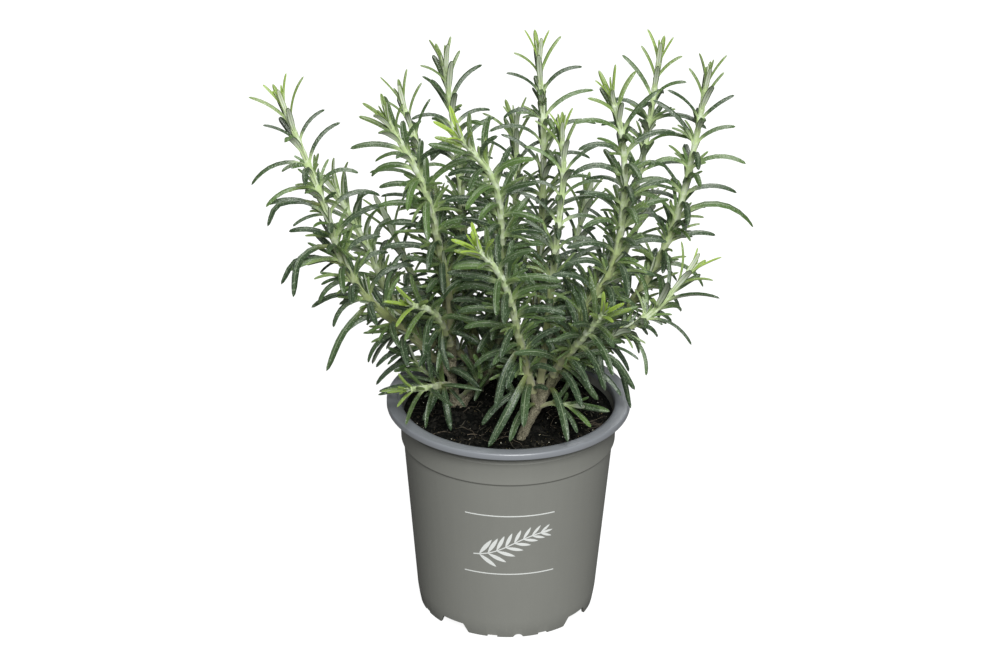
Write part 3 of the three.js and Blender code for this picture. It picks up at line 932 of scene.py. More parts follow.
def crumble(piece, sizes):
    """Raises the top into crumbs and hollows, large ones by their waves and small ones by modifiers."""
    top = piece.vertex_groups.new(name="top")
    for corner in piece.data.vertices:
        if corner.co.z > sizes.edge_height - TOUCH:
            x, y = corner.co.x / MM, corner.co.y / MM
            corner.co.z = soil_height(sizes, x, y) * MM
            top.add([corner.index], inside(x, y, ROUGH_ZONE), "REPLACE")
    for scale, height in ROUGH_SCALES:
        texture = bpy.data.textures.new("crumb", "CLOUDS")
        texture.noise_scale = scale * MM
        texture.noise_depth = 2
        apply_modifier(
            piece, "DISPLACE", texture=texture, texture_coords="LOCAL", direction="Z",
            vertex_group="top", strength=height * MM, mid_level=0.5)


def damp_soil(sizes, name="damp_soil", brownness=0.25):
    finish = Finish(name, Specular_IOR_Level=0.1)
    clumps = finish.noise(520, 5)
    fine = finish.noise(1500, 4)
    grains = finish.cells(1900)
    _, tint, _ = finish.parts(finish.attribute("kind"))
    brown = (clumps + tint * 0.5).step(0.75 - brownness, 1.05 - brownness) * 0.75
    tone = finish.mix(brown, sizes.dark, sizes.brown)
    pale = fine.step(0.66, 0.74) * 0.35
    tone = finish.mix(pale, tone, sizes.root)
    # The same fine noise that raises the small lumps in the bump darkens the colour between them: painted
    # shade in the hollows.
    finish.set("Base Color", finish.scaled(tone, 0.25 + fine * 1.3))
    finish.set("Roughness", 0.62 + clumps * 0.35)
    finish.bump(fine + grains * 0.6, 0.0006)
    return finish


def plain_bits(name, tone, shades=0.5):
    """A finish for small bits on the soil, with a shade of its own for each bit."""
    finish = Finish(name, Specular_IOR_Level=0.3)
    _, tint, _ = finish.parts(finish.attribute("kind"))
    fine = finish.noise(1600, 3)
    finish.set("Base Color", finish.scaled(tone, 1 - shades / 2 + tint * shades + (fine - 0.5) * 0.5))
    finish.set("Roughness", 0.85 - fine * 0.15)
    finish.bump(fine, 0.0002)
    return finish


def chip_pattern(seed):
    """A rough little lump of bark or peat."""
    start("chip", bpy.ops.mesh.primitive_ico_sphere_add, subdivisions=1, radius=1)
    pick_everything()
    bpy.ops.transform.vertex_random(offset=0.35, seed=seed)
    return taken_off(bpy.context.object)


def any_angle(draw):
    return 2 * math.pi * draw.random()


def spot_on_soil(draw):
    """A place on the soil, evenly drawn over its round top."""
    radius = STREWN_RADIUS * math.sqrt(draw.random())
    angle = any_angle(draw)
    return radius * math.cos(angle), radius * math.sin(angle)


def scatter_lumps(sizes, name, patterns, finish):
    """Strews lumps over the soil, each turned, stretched and half sunk in it."""
    lumps = LUMPS[name]
    crumb = sizes.crumb / MM
    draw = np.random.RandomState(lumps.seed)
    heap = Heap()
    for i in range(lumps.count):
        corners, faces = patterns[i % len(patterns)]
        x, y = spot_on_soil(draw)
        half = between(lumps.least * crumb, lumps.most * crumb, draw.random() ** 2)
        stretch = np.array([1, between(0.45, 0.9, draw.random()), between(0.3, 0.7, draw.random())])
        turn = np.array(Matrix.Rotation(draw.random() * 6.3, 3, "Z")
                        @ Matrix.Rotation((draw.random() - 0.5) * 1.2, 3, "X"))
        lump = (corners * stretch * half) @ turn.T
        lump += [x, y, soil_height(sizes, x, y) + half * 0.25]
        heap.lay(lump, faces, (0, 0, 0), (0, draw.random(), 0))
    settle(heap.piece(name), [finish], "soil", smooth=40)


def loose_line(sizes, draw, strands, step):
    """A wandering line over the soil, now and then a little above it."""
    x, y = spot_on_soil(draw)
    heading = any_angle(draw)
    bend = (draw.random() - 0.5) * strands.wander
    phase = draw.random() * 3
    far, near = TURN_BACK
    places = []
    for i in range(strands.steps + 1):
        rise = strands.lift * abs(math.sin(phase + i * 0.45))
        height = soil_height(sizes, x, y) + 0.15 + rise
        places.append((x, y, height))
        heading += bend + (draw.random() - 0.5) * strands.wander
        if math.hypot(x, y) > far:
            x, y = limited(x, -near, near), limited(y, -near, near)
        x += math.cos(heading) * step
        y += math.sin(heading) * step
    return np.array(places)


def scatter_strands(sizes, name, finish):
    """Strews strands over the soil, each a little thicker near its start."""
    strands = STRANDS[name]
    corners, faces = even_rod("strand", 4, strands.cuts)
    steps = strands.steps
    taper = np.interp(np.arange(steps + 1), [0, steps * 0.2, steps], STRAND_TAPER)[:, None]
    draw = np.random.RandomState(strands.seed)
    heap = Heap()
    for _ in range(strands.count):
        places = loose_line(sizes, draw, strands, strands.step * between(*STEP_SPREAD, draw.random()))
        tint = draw.random()
        if np.hypot(places[:, 0], places[:, 1]).max() < STRAND_RADIUS:
            ways = units(np.gradient(places, axis=0))
            widths = units(np.cross(ways, (0, 0, 1)))
            across, upwards = (radius * taper for radius in strands.radii)
            strand = laid_along(corners, places, widths * across, np.cross(widths, ways) * upwards)
            heap.lay(strand, faces, (0, 0, 0), (0, tint, 0))
    settle(heap.piece(name), [finish], "soil", smooth=60)


class ROSEMARY_OT_soil(bpy.types.Operator):
    """Fills the pot with crumbly soil, and strews crumbs, fibres, fine roots and grains over it"""

    bl_idname = "rosemary.soil"
    bl_label = "Potting Soil"

    def execute(self, context):
        sizes = context.scene.rosemary_soil
        soil = model_soil(sizes)
        crumble(soil, sizes)
        settle(soil, [damp_soil(sizes)], "soil", "soil")
        chips = [chip_pattern(seed) for seed in (1, 2, 3)]
        scatter_lumps(sizes, "soil_crumbs", chips, damp_soil(sizes, "peat_crumb", 0.35))
        scatter_lumps(sizes, "mineral_grains", chips, plain_bits("pale_mineral", sizes.mineral))
        scatter_lumps(sizes, "dry_specks", chips, plain_bits("dry_fibre", sizes.dry, 1.2))
        scatter_strands(sizes, "wood_fibres", plain_bits("wood_fibre", sizes.fibre, 1.4))
        scatter_strands(sizes, "fine_roots", plain_bits("fine_root", sizes.root, 0.7))
        return {"FINISHED"}


# ---------------------------------------------------------------- how the bush grows

# Each wooden stem is rooted in the soil. A leafy stem leaves it at the first place of its path and
# ends at the last. Its first `bark` millimetres are brown, and belong to the wooden stem. `facing` is
# the way its first pair of leaves lies, in degrees from +X, and is drawn by chance where it isn't
# given. `glow` says how yellow-green its tip is, and `slim` narrows its leaves. `long_leaf` gives one
# pair of leaves, counted down from the tip, and their full length.
WOODS = {
    "left": {
        "trunks": [
            [[-25, 6, 82], [-26, 6, 100], [-27, 6, 112], [-28, 5, 121], [-28, 5, 139]],
            [[-25, 6, 98], [-22, 5, 107], [-17, 5, 114], [-11, 5, 119]],
        ],
        "stems": {
            "tall_left": {
                "facing": 6, "bark": 13, "glow": 0.5,
                "path": [[-28, 5, 121], [-46, 2, 142], [-68, -3, 166], [-82, -8, 192], [-89, -11, 220],
                         [-108, -4, 268]],
            },
            "left_behind": {
                "bark": 11,
                "path": [[-28, 5, 130], [-40, 11, 138], [-57, 22, 152], [-69, 31, 175], [-86, 38, 206]],
            },
            "upright_left": {
                "bark": 10,
                "path": [[-28, 5, 139], [-31, 15, 153], [-36, 30, 182], [-43, 39, 218], [-53, 44, 250]],
            },
            "leaning_left": {
                "bark": 10,
                "path": [[-28, 5, 139], [-29, 1, 162], [-34, -7, 196], [-42, -18, 235], [-58, -26, 270]],
            },
            "side_left": {
                "bark": 10, "glow": 0.7, "slim": 0.8,
                "path": [[-28, 5, 133], [-31, -6, 150], [-37, -20, 168], [-47, -35, 179]],
            },
            "rim_left": {
                "bark": 9, "glow": 0.4, "slim": 0.62,
                "path": [[-27, 6, 114], [-33, -8, 122], [-39, -22, 128], [-48, -36, 134]],
            },
            "bright_mid": {
                "bark": 12, "glow": 1,
                "path": [[-11, 5, 119], [-3, -4, 151], [-4, -15, 190], [-7, -33, 240], [-24, -46, 271]],
            },
        },
    },
    "front": {
        "trunks": [[[5, -29, 82], [6, -28, 100], [9, -28, 111], [14, -28, 121], [19, -27, 131]]],
        "stems": {
            "pale_front": {
                "bark": 11, "glow": 1,
                "path": [[14, -28, 121], [7, -36, 152], [1, -50, 186], [-5, -63, 209], [-15, -73, 226]],
            },
            "upright_centre": {
                "bark": 13, "glow": 0.4,
                "path": [[14, -28, 121], [18, -18, 158], [22, -10, 200], [25, -3, 233], [24, 0, 253]],
            },
            "bright_front": {
                "bark": 12, "glow": 0.75, "slim": 0.9,
                "path": [[19, -27, 131], [24, -36, 148], [34, -50, 169], [44, -70, 193]],
            },
            "broad_right": {
                "bark": 15, "glow": 0.4,
                "path": [[19, -27, 131], [36, -31, 175], [49, -34, 202], [53, -37, 240], [51, -40, 270],
                         [46, -42, 290]],
            },
            "low_right": {
                "bark": 18, "glow": 0.6,
                "path": [[17, -27, 127], [27, -27, 142], [46, -27, 157], [68, -25, 171], [86, -18, 190]],
            },
        },
    },
    "back_left": {
        "trunks": [[[-15, 21, 82], [-15, 22, 100], [-14, 23, 110], [-11, 26, 119]]],
        "stems": {
            "tall_mid_left": {
                "bark": 12,
                "path": [[-12, 25, 117], [-19, 35, 137], [-23, 47, 178], [-26, 55, 215], [-33, 62, 262]],
            },
            "small_centre": {
                "bark": 12,
                "path": [[-11, 26, 119], [-4, 40, 134], [1, 56, 164], [3, 67, 202], [2, 72, 226]],
            },
            "back_left": {
                "bark": 11,
                "path": [[-14, 24, 112], [-28, 34, 124], [-44, 51, 144], [-62, 69, 176]],
            },
            "back_centre": {
                "bark": 12,
                "path": [[-11, 26, 119], [-8, 42, 125], [-7, 64, 142], [-10, 78, 168], [-13, 86, 194]],
            },
            "small_behind": {
                "bark": 12,
                "path": [[-14, 23, 110], [-19, 40, 119], [-26, 62, 140], [-36, 78, 179]],
            },
        },
    },
    "back_right": {
        "trunks": [[[8, 17, 82], [8, 18, 100], [10, 20, 113], [16, 20, 127]]],
        "stems": {
            "tall_centre": {
                "bark": 14, "glow": 0.5,
                "path": [[10, 20, 113], [12, 31, 134], [15, 43, 171], [16, 54, 225], [13, 60, 268]],
            },
            "tall_right": {
                "bark": 11, "glow": 0.4,
                "path": [[16, 20, 127], [30, 27, 144], [52, 35, 179], [64, 40, 222], [71, 44, 273]],
            },
            "far_right": {
                "bark": 11, "facing": 4, "long_leaf": (12, 42),
                "path": [[16, 20, 127], [34, 14, 139], [60, 11, 160], [78, 13, 196], [87, 15, 235],
                         [93, 18, 273]],
            },
            "back_right": {
                "bark": 11,
                "path": [[15, 20, 123], [30, 36, 130], [50, 56, 148], [68, 73, 182]],
            },
            "back_mid_right": {
                "bark": 12,
                "path": [[9, 19, 108], [15, 40, 118], [27, 62, 138], [38, 80, 182]],
            },
        },
    },
}

# Short side shoots low on the wood, which only fill the space over the soil.
SPRIGS = [
    [[14, -28, 121], [22, -33, 126], [31, -41, 129]],
    [[-11, 5, 119], [-9, -4, 128], [-6, -12, 140]],
    [[-25, 5, 108], [-18, -5, 120], [-14, -14, 133]],
    [[-26, 5, 110], [-37, 3, 120], [-46, -2, 132]],
    [[-12, 24, 113], [-5, 13, 123], [0, 6, 134]],
    [[10, 20, 112], [20, 9, 123], [29, 0, 136]],
    [[12, 20, 116], [26, 25, 126], [40, 29, 138]],
]

SPRIG_PLAN = {"bark": 2, "thin": 0.5, "age": 0.8}  # thinner than the stems, with nearly grown leaves
SPRIG_SEED = 100

# Large leaves that hang: half their width, and the places that their middle line goes through.
HANGING = {
    "pale_front": [
        (2.5, [9, -33, 143], [1.6, -46, 132.6], [-9.7, -51, 111]),
        (2.4, [5.6, -39, 160], [-1.5, -47, 150.8], [-6.5, -51, 131.3]),
    ],
    "rim_left": [
        (2.1, [-32, -8, 123], [-30.3, -26, 122], [-27.8, -31, 109]),
        (2, [-33, -9, 123], [-36.7, -22, 121.5], [-41.5, -26, 111.8]),
    ],
    "bright_front": [(2.3, [24, -37, 150], [33, -42, 147], [43, -43, 133])],
    "low_right": [
        (2, [42, -28, 155], [43.6, -36, 150], [44.8, -38, 137.6]),
        (2, [38, -28, 152], [50.5, -31, 149], [61, -31, 132.5]),
        (1.7, [36, -25, 150], [52.8, -20, 140], [59.8, -18, 115.4]),
    ],
    "side_left": [(1.8, [-33, -10, 155], [-32, -18, 146], [-29, -20, 136])],
    "tall_left": [
        (2, [-67.5, -3, 165.5], [-80.8, -9, 150.7], [-89, -12, 131]),
        (2, [-85, -9, 197], [-93, -13, 198.5], [-101.6, -17, 192.4], [-104, -20, 174.7]),
        (1.7, [-90, -11, 220], [-102, -12, 222.2], [-111.8, -14, 220.4], [-116, -15, 209.8]),
        (1.7, [-82, -7, 187], [-94, -6, 190], [-104.2, -6, 187.1], [-110.7, -6, 174.8]),
        (1.6, [-69, -3, 166.3], [-82.4, -2, 168.3], [-91, -2, 165], [-96.5, -2, 160.6]),
    ],
}
UPPER_SIDE = np.array([0, -0.6, 1])  # the way that their upper sides face
HANGING_TAIL = 1.5
HANGING_OLD = 0.9  # how woody and dull they look, from 0 to 1

# The leaves stand in crossed pairs. Near the growing tip they are short, upright and close together.
YOUNG_ZONE = 32  # length of stem below the tip over which leaves grow up
AGEING = 1.4  # leaves darken this much faster than they grow
SPACING = (3, 6.6)  # between pairs: at the tip, and where the leaves are full grown
FACING_SPREAD = (-25, 25)  # degrees between which a stem's first pair lies, by chance
WOODINESS = (1.2, 1.5)  # how woody a stem is at its start, and how much less at its tip
GLOW = (0.15, 0.1)  # of a tip that isn't given any, and of all full-grown leaves
ANGLE = (13, 38)  # degrees from the stem, at the leaf's root
BEND = (22, 84)  # degrees by which the leaf arches outwards
DROOP = (0.02, 0.3)  # pull of gravity
LENGTH_SPREAD = (0.8, 1.18)  # shares and degrees by which chance changes each leaf
ANGLE_SPREAD = 12
BEND_SPREAD = (0.35, 1.2)
DROOP_SPREAD = (0.5, 1.5)
TURN_SPREAD = 12
LOW_ZONE = (190, 130)  # heights between which the full-grown leaves get longer and hang more
LOW_DROOP = 0.3
BARE_LENGTH = 3  # from the start of a leafy stem to its first pair
STEPS = 10  # a leaf's middle line is walked in this many steps
ROOT_DEPTH = 0.3  # share of the stem's radius at which the middle line starts
BASE_DEPTH = 0.85  # share of that radius at which the blade starts
TAIL_LENGTH = (2.4, 4.8)  # of the tail that runs down the stem: at the tip, and full grown
TAIL_DEPTH = 0.1  # share of the stem's radius by which the tail ends deeper
FULL_PAIRS = 3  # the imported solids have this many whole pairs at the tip
LEFT_OUT = 3  # below them, they have no leaf of each third pair, and one of the others
TRIES = 6  # each with a shorter leaf, turned further
TRY_SHORTER = 0.09
TRY_TURN = 0.7
LOW_SHORTER = 0.12
CUBE = 5  # side of the cubes in which filled spots are kept
PATH_STEP = 1.5  # from one filled spot of a stem to the next
POT_INNER = 50.5  # leaves inside this radius stay over the soil, and inside the next over the rim
POT_OUTER = 63
ABOVE_SOIL = 108
ABOVE_RIM = 114.6
BESIDE_POT = 98

Shape = namedtuple("Shape", "length angle bend droop turn")
Line = namedtuple("Line", "places widths tops outward")
Leaf = namedtuple("Leaf", "places widths tops half age old glow tail")

# How a leaf fits in: the gap that it keeps from others, the share of the usual distance that it keeps
# from its own stem and that stem's leaves, and its width as a share of the usual one.
Fit = namedtuple("Fit", "slack own_share slim")
FIRST_FIT = Fit(0.7, 0.4, 1)
OTHER_FIT = Fit(-0.2, 0.25, 1)
LOW_FIT = Fit(0.1, 0.2, 1)
SPRIG_FIT = Fit(0, 0.2, 1)
TIP_FIT = Fit(-0.2, 0, 0.55)
SPRAY_FIT = Fit(-0.4, 0, 0.56)

# The small leaves close round each tip, and the long ones that hang from the brown starts of the
# stems. Each part of a leaf's shape is drawn between two ends.
TIP_LEAVES = 4
TIP_BELOW = 0.4  # from the end of the stem down to their roots
TIP_QUARTER = 0.5  # they stand between the crossed pairs
TIP_LEAF = Shape((6, 12), (3, 13), (2, 18), (0, 0), (-20, 20))
LOW_PAIRS = (1, 3)  # one pair stands this far above the bark's end, and one this far up the stem
LOW_LEAF = Shape((24, 38), (40, 70), (20, 70), (0.3, 0.9), (-40, 40))

# The small side shoots above the leaves: each a fan of a few leaves with one lean and turn.
SPRAY_SHARE = (0.0, 0.9)  # share of the leaves that have one above them: high and low
SPRAY_FIRST = 5  # the first pair, from the tip, that may have them
SPRAY_LOW = 12  # the pair from which on they are full grown
SPRAY_LEAVES = 4
SPRAY_LEAN = (22, 52)
SPRAY_TURN = (-22, 22)
SPRAY_SIZE = (0.6, 1.1)  # shares of their leaves' length: high and low
SPRAY_LEAF = Shape((8, 19), (4, 24), (0, 65), (0.1, 0.1), (-30, 30))  # its angle spreads the fan
SPRAY_AGEING = (0.25, 0.9)

# The numbers of the draws start here, so that no two kinds of leaves share them.
TIP_DRAWS = 200
SPRAY_DRAWS = 300
LOW_DRAWS = 500


def chance(stem, leaf, draw):
    """A repeatable draw between 0 and 1 for one leaf of one stem."""
    wave = math.sin(stem * 12.9898 + leaf * 78.233 + draw * 37.719) * 43758.5453
    return wave - math.floor(wave)


def cube_of(place):
    return tuple(int(number // CUBE) for number in place)


def drawn(ends, draw, *numbers):
    """A leaf's shape, each part drawn between its two ends by the draw with its number."""
    return Shape(*(between(*pair, draw(number)) for pair, number in zip(ends, numbers)))


class Room:
    """The round spots that stems and leaves fill, kept in small cubes to find near ones quickly."""

    def __init__(self):
        self.cubes = {}

    def take(self, places, radius, owner):
        for place in places:
            self.cubes.setdefault(cube_of(place), []).append((*place, radius, owner))

    def is_free(self, place, radius, owner, own_share, slack):
        x, y, z = place
        i, j, k = cube_of(place)
        near = (self.cubes.get((i + a, j + b, k + c), ())
                for a in (-1, 0, 1) for b in (-1, 0, 1) for c in (-1, 0, 1))
        for spots in near:
            for sx, sy, sz, other, whose in spots:
                room = (own_share if whose == owner else 1) * (radius + other + slack)
                if (sx - x) ** 2 + (sy - y) ** 2 + (sz - z) ** 2 < room * room:
                    return False
        return True


def is_above_pot(place):
    radius = math.hypot(place[0], place[1])
    if radius < POT_INNER:
        return place[2] > ABOVE_SOIL
    return place[2] > (ABOVE_RIM if radius < POT_OUTER else BESIDE_POT)


def is_in_box(place, half):
    """Whether a spot of a leaf that the solids don't have keeps within their box."""
    low, high = (np.array(corner - AXIS) / MM for corner in cad_box)
    return bool(np.all(place - half > low) and np.all(place + half < high))


def leaf_line(station, radius, shape, quarter):
    """A leaf's middle line, and the ways its width and its upper side lie at each step."""
    around = math.radians(shape.turn) + quarter * math.pi / 2
    outward = station.side * math.cos(around) + station.up * math.sin(around)
    across = np.cross(station.along, outward)
    parts = np.arange(STEPS + 1) / STEPS
    angles = math.radians(shape.angle) + math.radians(shape.bend) * parts
    headings = np.outer(np.cos(angles), station.along) + np.outer(np.sin(angles), outward)
    headings[:, 2] -= shape.droop * parts
    headings = units(headings)
    widths = units(across - headings * (headings @ across)[:, None])
    root = station.place + outward * (ROOT_DEPTH * radius)
    walked = np.cumsum(headings[:-1] * (shape.length / STEPS), axis=0)
    return Line(np.vstack([root, root + walked]), widths, np.cross(headings, widths), outward)


class Stem:
    """One leafy stem: its path, its pairs of leaves and the leaves that have found room."""

    def __init__(self, name, plan, seed, sizes):
        self.name, self.plan, self.seed, self.sizes = name, plan, seed, sizes
        self.path = Path(plan["path"])
        self.length = self.path.length
        self.bark = plan["bark"]
        self.glow = plan.get("glow", GLOW[0])
        self.facing = math.radians(plan.get("facing", between(*FACING_SPREAD, chance(seed, 0, 0))))
        self.pairs = self.pair_distances()
        self.spots = self.path.stations(self.pairs, self.facing)
        self.leaves = []

    def pair_distances(self):
        """Where the pairs stand, from the tip down: close together at the tip, wider below it."""
        found = []
        distance = self.length - 1
        while distance > self.bark + BARE_LENGTH:
            found.append(distance)
            distance -= between(*SPACING, math.sqrt(self.grown(distance)))
        return found

    def grown(self, distance):
        return limited((self.length - distance) / YOUNG_ZONE)

    def radius(self, distance):
        part = (distance - self.bark) / (self.length - self.bark)
        radius = between(self.sizes.base_radius, self.sizes.tip_radius, part) / MM
        return radius * self.plan.get("thin", 1)

    def old(self, distance):
        """How woody the stem is: 1 where it leaves the bark, and 0 from some way below the tip."""
        at_start, loss = WOODINESS
        return limited(at_start - loss * (distance - self.bark) / (self.length - self.bark))

    def draws(self, leaf, first):
        """The numbered draws of one leaf, counted on from the first."""
        return lambda number: chance(self.seed, leaf, first + number)

    def shape(self, spot, leaf, attempt, leaf_sizes, full_length):
        """One leaf's shape, from how far below the tip it stands and how low in the bush."""
        draw = self.draws(leaf, attempt * 10)
        grown = self.grown(spot.distance)
        low = limited((LOW_ZONE[0] - spot.place[2]) / (LOW_ZONE[0] - LOW_ZONE[1]))
        full = full_length or between(leaf_sizes.full_length, leaf_sizes.low_length, low) / MM
        size = between(leaf_sizes.young_length / MM, full, math.sqrt(grown))
        return Shape(
            size * between(*LENGTH_SPREAD, draw(1)) * (1 - attempt * TRY_SHORTER),
            between(*ANGLE, grown) + ANGLE_SPREAD * grown * (2 * draw(2) - 1),
            between(*BEND, grown) * between(*BEND_SPREAD, draw(3)),
            between(*DROOP, grown) * between(*DROOP_SPREAD, draw(4)) + LOW_DROOP * low * grown,
            TURN_SPREAD * (2 * draw(5) - 1) * (1 + attempt * TRY_TURN))

    def add_leaf(self, spot, line, half, ageing):
        """Adds a leaf along its line, with a tail that runs down the stem."""
        places, widths, tops, outward = line
        radius = self.radius(spot.distance)
        grown = self.grown(spot.distance)
        age = max(limited(grown * ageing), self.plan.get("age", 0))
        places[0] = spot.place + outward * radius * BASE_DEPTH
        tail = places[0] - spot.along * between(*TAIL_LENGTH, age) - outward * radius * TAIL_DEPTH
        self.leaves.append(Leaf(
            places, widths, tops, half * self.plan.get("slim", 1), age, self.old(spot.distance),
            between(self.glow, GLOW[1], grown), tail))


class Bush:
    """All the stems, and the room that they and their leaves take."""

    def __init__(self, stem_sizes, leaf_sizes):
        self.room = Room()
        self.leaf_sizes = leaf_sizes
        plans = [item for wood in WOODS.values() for item in wood["stems"].items()]
        self.stems = [Stem(name, plan, i + 1, stem_sizes) for i, (name, plan) in enumerate(plans)]
        self.sprigs = [
            Stem("sprig_" + str(i), {"path": path, **SPRIG_PLAN}, SPRIG_SEED + i, stem_sizes)
            for i, path in enumerate(SPRIGS)]
        wood_radius, branch_radius = stem_sizes.wood_radius / MM, stem_sizes.branch_radius / MM
        for name, wood in WOODS.items():
            for path in map(Path, wood["trunks"]):
                self.take_path(path, 0, path.length, lambda _: wood_radius, "wood_" + name)
        for stem in self.stems:
            self.take_path(stem.path, 0, stem.bark, lambda _: branch_radius, stem.name)
            self.take_path(stem.path, stem.bark, stem.length, stem.radius, stem.name)

    def take_path(self, path, first, last, radius_at, owner):
        for station in path.stations(evenly(first, last, PATH_STEP)):
            self.room.take([station.place], radius_at(station.distance), owner)

    def half_width(self, size):
        return (self.leaf_sizes.width / MM + size / 10) / 2

    def has_room(self, stem, places, half, fit):
        """Whether a leaf fits. What the solids don't have also keeps within their box."""
        return all(
            is_above_pot(place)
            and (fit is FIRST_FIT or is_in_box(place, half))
            and self.room.is_free(place, half, stem.name, 0 if step < 2 else fit.own_share, fit.slack)
            for step, place in enumerate(places[2:]))

    def place_leaf(self, stem, spot, shapes, quarter, fit, ageing=AGEING):
        """Adds the first of the shapes that has room to the stem's leaves."""
        for shape in shapes:
            line = leaf_line(spot, stem.radius(spot.distance), shape, quarter)
            half = self.half_width(shape.length) * fit.slim
            if self.has_room(stem, line.places, half, fit):
                self.room.take(line.places[1:], half, stem.name)
                stem.add_leaf(spot, line, half, ageing)
                return

    def grow_pairs(self, stems, chosen, fit):
        """Grows the leaves of each pair that `chosen` gives, for all the stems in turn."""
        for stem in stems:
            long_pair, long_length = stem.plan.get("long_leaf", (None, None))
            for pair, spot in enumerate(stem.spots):
                full_length = long_length if pair == long_pair else None
                for half in chosen(pair):
                    shapes = (stem.shape(spot, pair * 2 + half, attempt, self.leaf_sizes, full_length)
                              for attempt in range(TRIES))
                    self.place_leaf(stem, spot, shapes, pair + half * 2, fit)

    def hang_leaves(self):
        """The large hanging leaves, each along a line of its own."""
        for stem in self.stems:
            for half, *dots in HANGING.get(stem.name, ()):
                path = Path(dots)
                spots = path.stations(evenly(0, path.length, path.length / STEPS))
                places = np.array([spot.place for spot in spots])
                headings = np.array([spot.along for spot in spots])
                tops = units(UPPER_SIDE - headings * (headings @ UPPER_SIDE)[:, None])
                self.room.take(places[1:], half, stem.name)
                tail = places[0] - headings[0] * HANGING_TAIL
                stem.leaves.append(
                    Leaf(places, np.cross(tops, headings), tops, half, 1, HANGING_OLD, 0, tail))

    def grow_tips(self):
        """Small upright leaves close round each growing tip."""
        for stem in self.stems:
            tip = stem.path.stations([stem.length - TIP_BELOW], stem.facing)[0]
            for leaf in range(TIP_LEAVES):
                shape = drawn(TIP_LEAF, stem.draws(leaf, TIP_DRAWS), 1, 2, 3, 0, 4)
                self.place_leaf(stem, tip, [shape], leaf + TIP_QUARTER, TIP_FIT)

    def grow_tufts(self):
        """Small side shoots, each a spray of a few slender leaves above a full-grown one."""
        for stem in self.stems:
            for pair, spot in enumerate(stem.spots[SPRAY_FIRST:], SPRAY_FIRST):
                for half in range(2):
                    self.grow_spray(stem, spot, pair, half)

    def grow_spray(self, stem, spot, pair, half):
        draw = stem.draws(pair * 2 + half, SPRAY_DRAWS)
        lower = limited(pair / SPRAY_LOW)
        if draw(0) > between(*SPRAY_SHARE, lower):
            return
        lean, turn = between(*SPRAY_LEAN, draw(1)), between(*SPRAY_TURN, draw(2))
        for leaf in range(SPRAY_LEAVES):
            way = leaf / (SPRAY_LEAVES - 1) * 2 - 1
            own = drawn(SPRAY_LEAF, draw, leaf + 10, leaf + 20, leaf + 30, 0, leaf + 40)
            shape = own._replace(
                length=own.length * between(*SPRAY_SIZE, lower), angle=lean + way * own.angle,
                turn=turn + own.turn)
            ageing = between(*SPRAY_AGEING, draw(leaf + 50))
            self.place_leaf(stem, spot, [shape], pair + half * 2, SPRAY_FIT, ageing)

    def grow_low_leaves(self):
        """Long leaves that hang from the brown starts of the stems."""
        above, up = LOW_PAIRS
        for stem in self.stems:
            spots = stem.path.stations([stem.bark + above, up], stem.facing)
            for pair, spot in enumerate(spots):
                for half in range(2):
                    draw = stem.draws(pair * 2 + half, LOW_DRAWS)
                    shapes = [drawn(LOW_LEAF, draw, 1, 2, 3, 4, 5 + attempt) for attempt in range(TRIES)]
                    shorter = [
                        shape._replace(length=shape.length * (1 - LOW_SHORTER * attempt))
                        for attempt, shape in enumerate(shapes)]
                    self.place_leaf(stem, spot, shorter, pair + half * 2, LOW_FIT)


def first_leaves(pair):
    """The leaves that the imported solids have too, so that both have them in the same places."""
    if pair < FULL_PAIRS:
        return [0, 1]
    return [] if pair % LEFT_OUT == LEFT_OUT - 1 else [0]


def other_leaves(pair):
    return [half for half in (0, 1) if half not in first_leaves(pair)]


# ---------------------------------------------------------------- wooden stems

TRUNK_TAPER = (0.9, 0.78)  # shares of the wood's radius at a trunk's foot and its top
BRANCH_TAPER = (0.86, 0.9)  # of the branch's radius at its start, and of the leafy stem's at its end
BARK_OVERLAP = 0.6  # by which the bark goes on past the start of the leafy stem
SOIL_TOP = 104
ROOT_SWELL = (0.16, 5)  # share by which wood is thicker at the soil, and how far up that fades
SCAR_SWELL = (0.09, 6.5)  # share by which it is thicker at the old leaf scars, and their spacing
BARK_VOXEL = 0.42
BARK_STEP = 1.2
CRACK_DEPTH = 0.22
CRACK_WAVES = (3.4, 0.32)  # how closely the cracks follow each other round the stem and along it
GRAIN_DEPTH = 0.12  # of the finer grain between the cracks
GRAIN_WAVES = (7, 0.9)


def wood_tubes(wood, sizes):
    """The trunks of one clump and the brown starts of its stems: path, length and two radii."""
    wood_radius = sizes.wood_radius / MM
    for path in map(Path, wood["trunks"]):
        yield path, path.length, wood_radius * TRUNK_TAPER[0], wood_radius * TRUNK_TAPER[1]
    for plan in wood["stems"].values():
        yield (Path(plan["path"]), plan["bark"] + BARK_OVERLAP, sizes.branch_radius / MM * BRANCH_TAPER[0],
               sizes.base_radius / MM * BRANCH_TAPER[1])


def swollen_radius(station, first, last, end):
    """Thicker at the soil and round the old leaf scars."""
    root = ROOT_SWELL[0] * math.exp(-max(station.place[2] - SOIL_TOP, 0) / ROOT_SWELL[1])
    scar = SCAR_SWELL[0] * max(0, math.cos(station.distance * 2 * math.pi / SCAR_SWELL[1])) ** 4
    return between(first, last, station.distance / end) * (1 + root + scar)


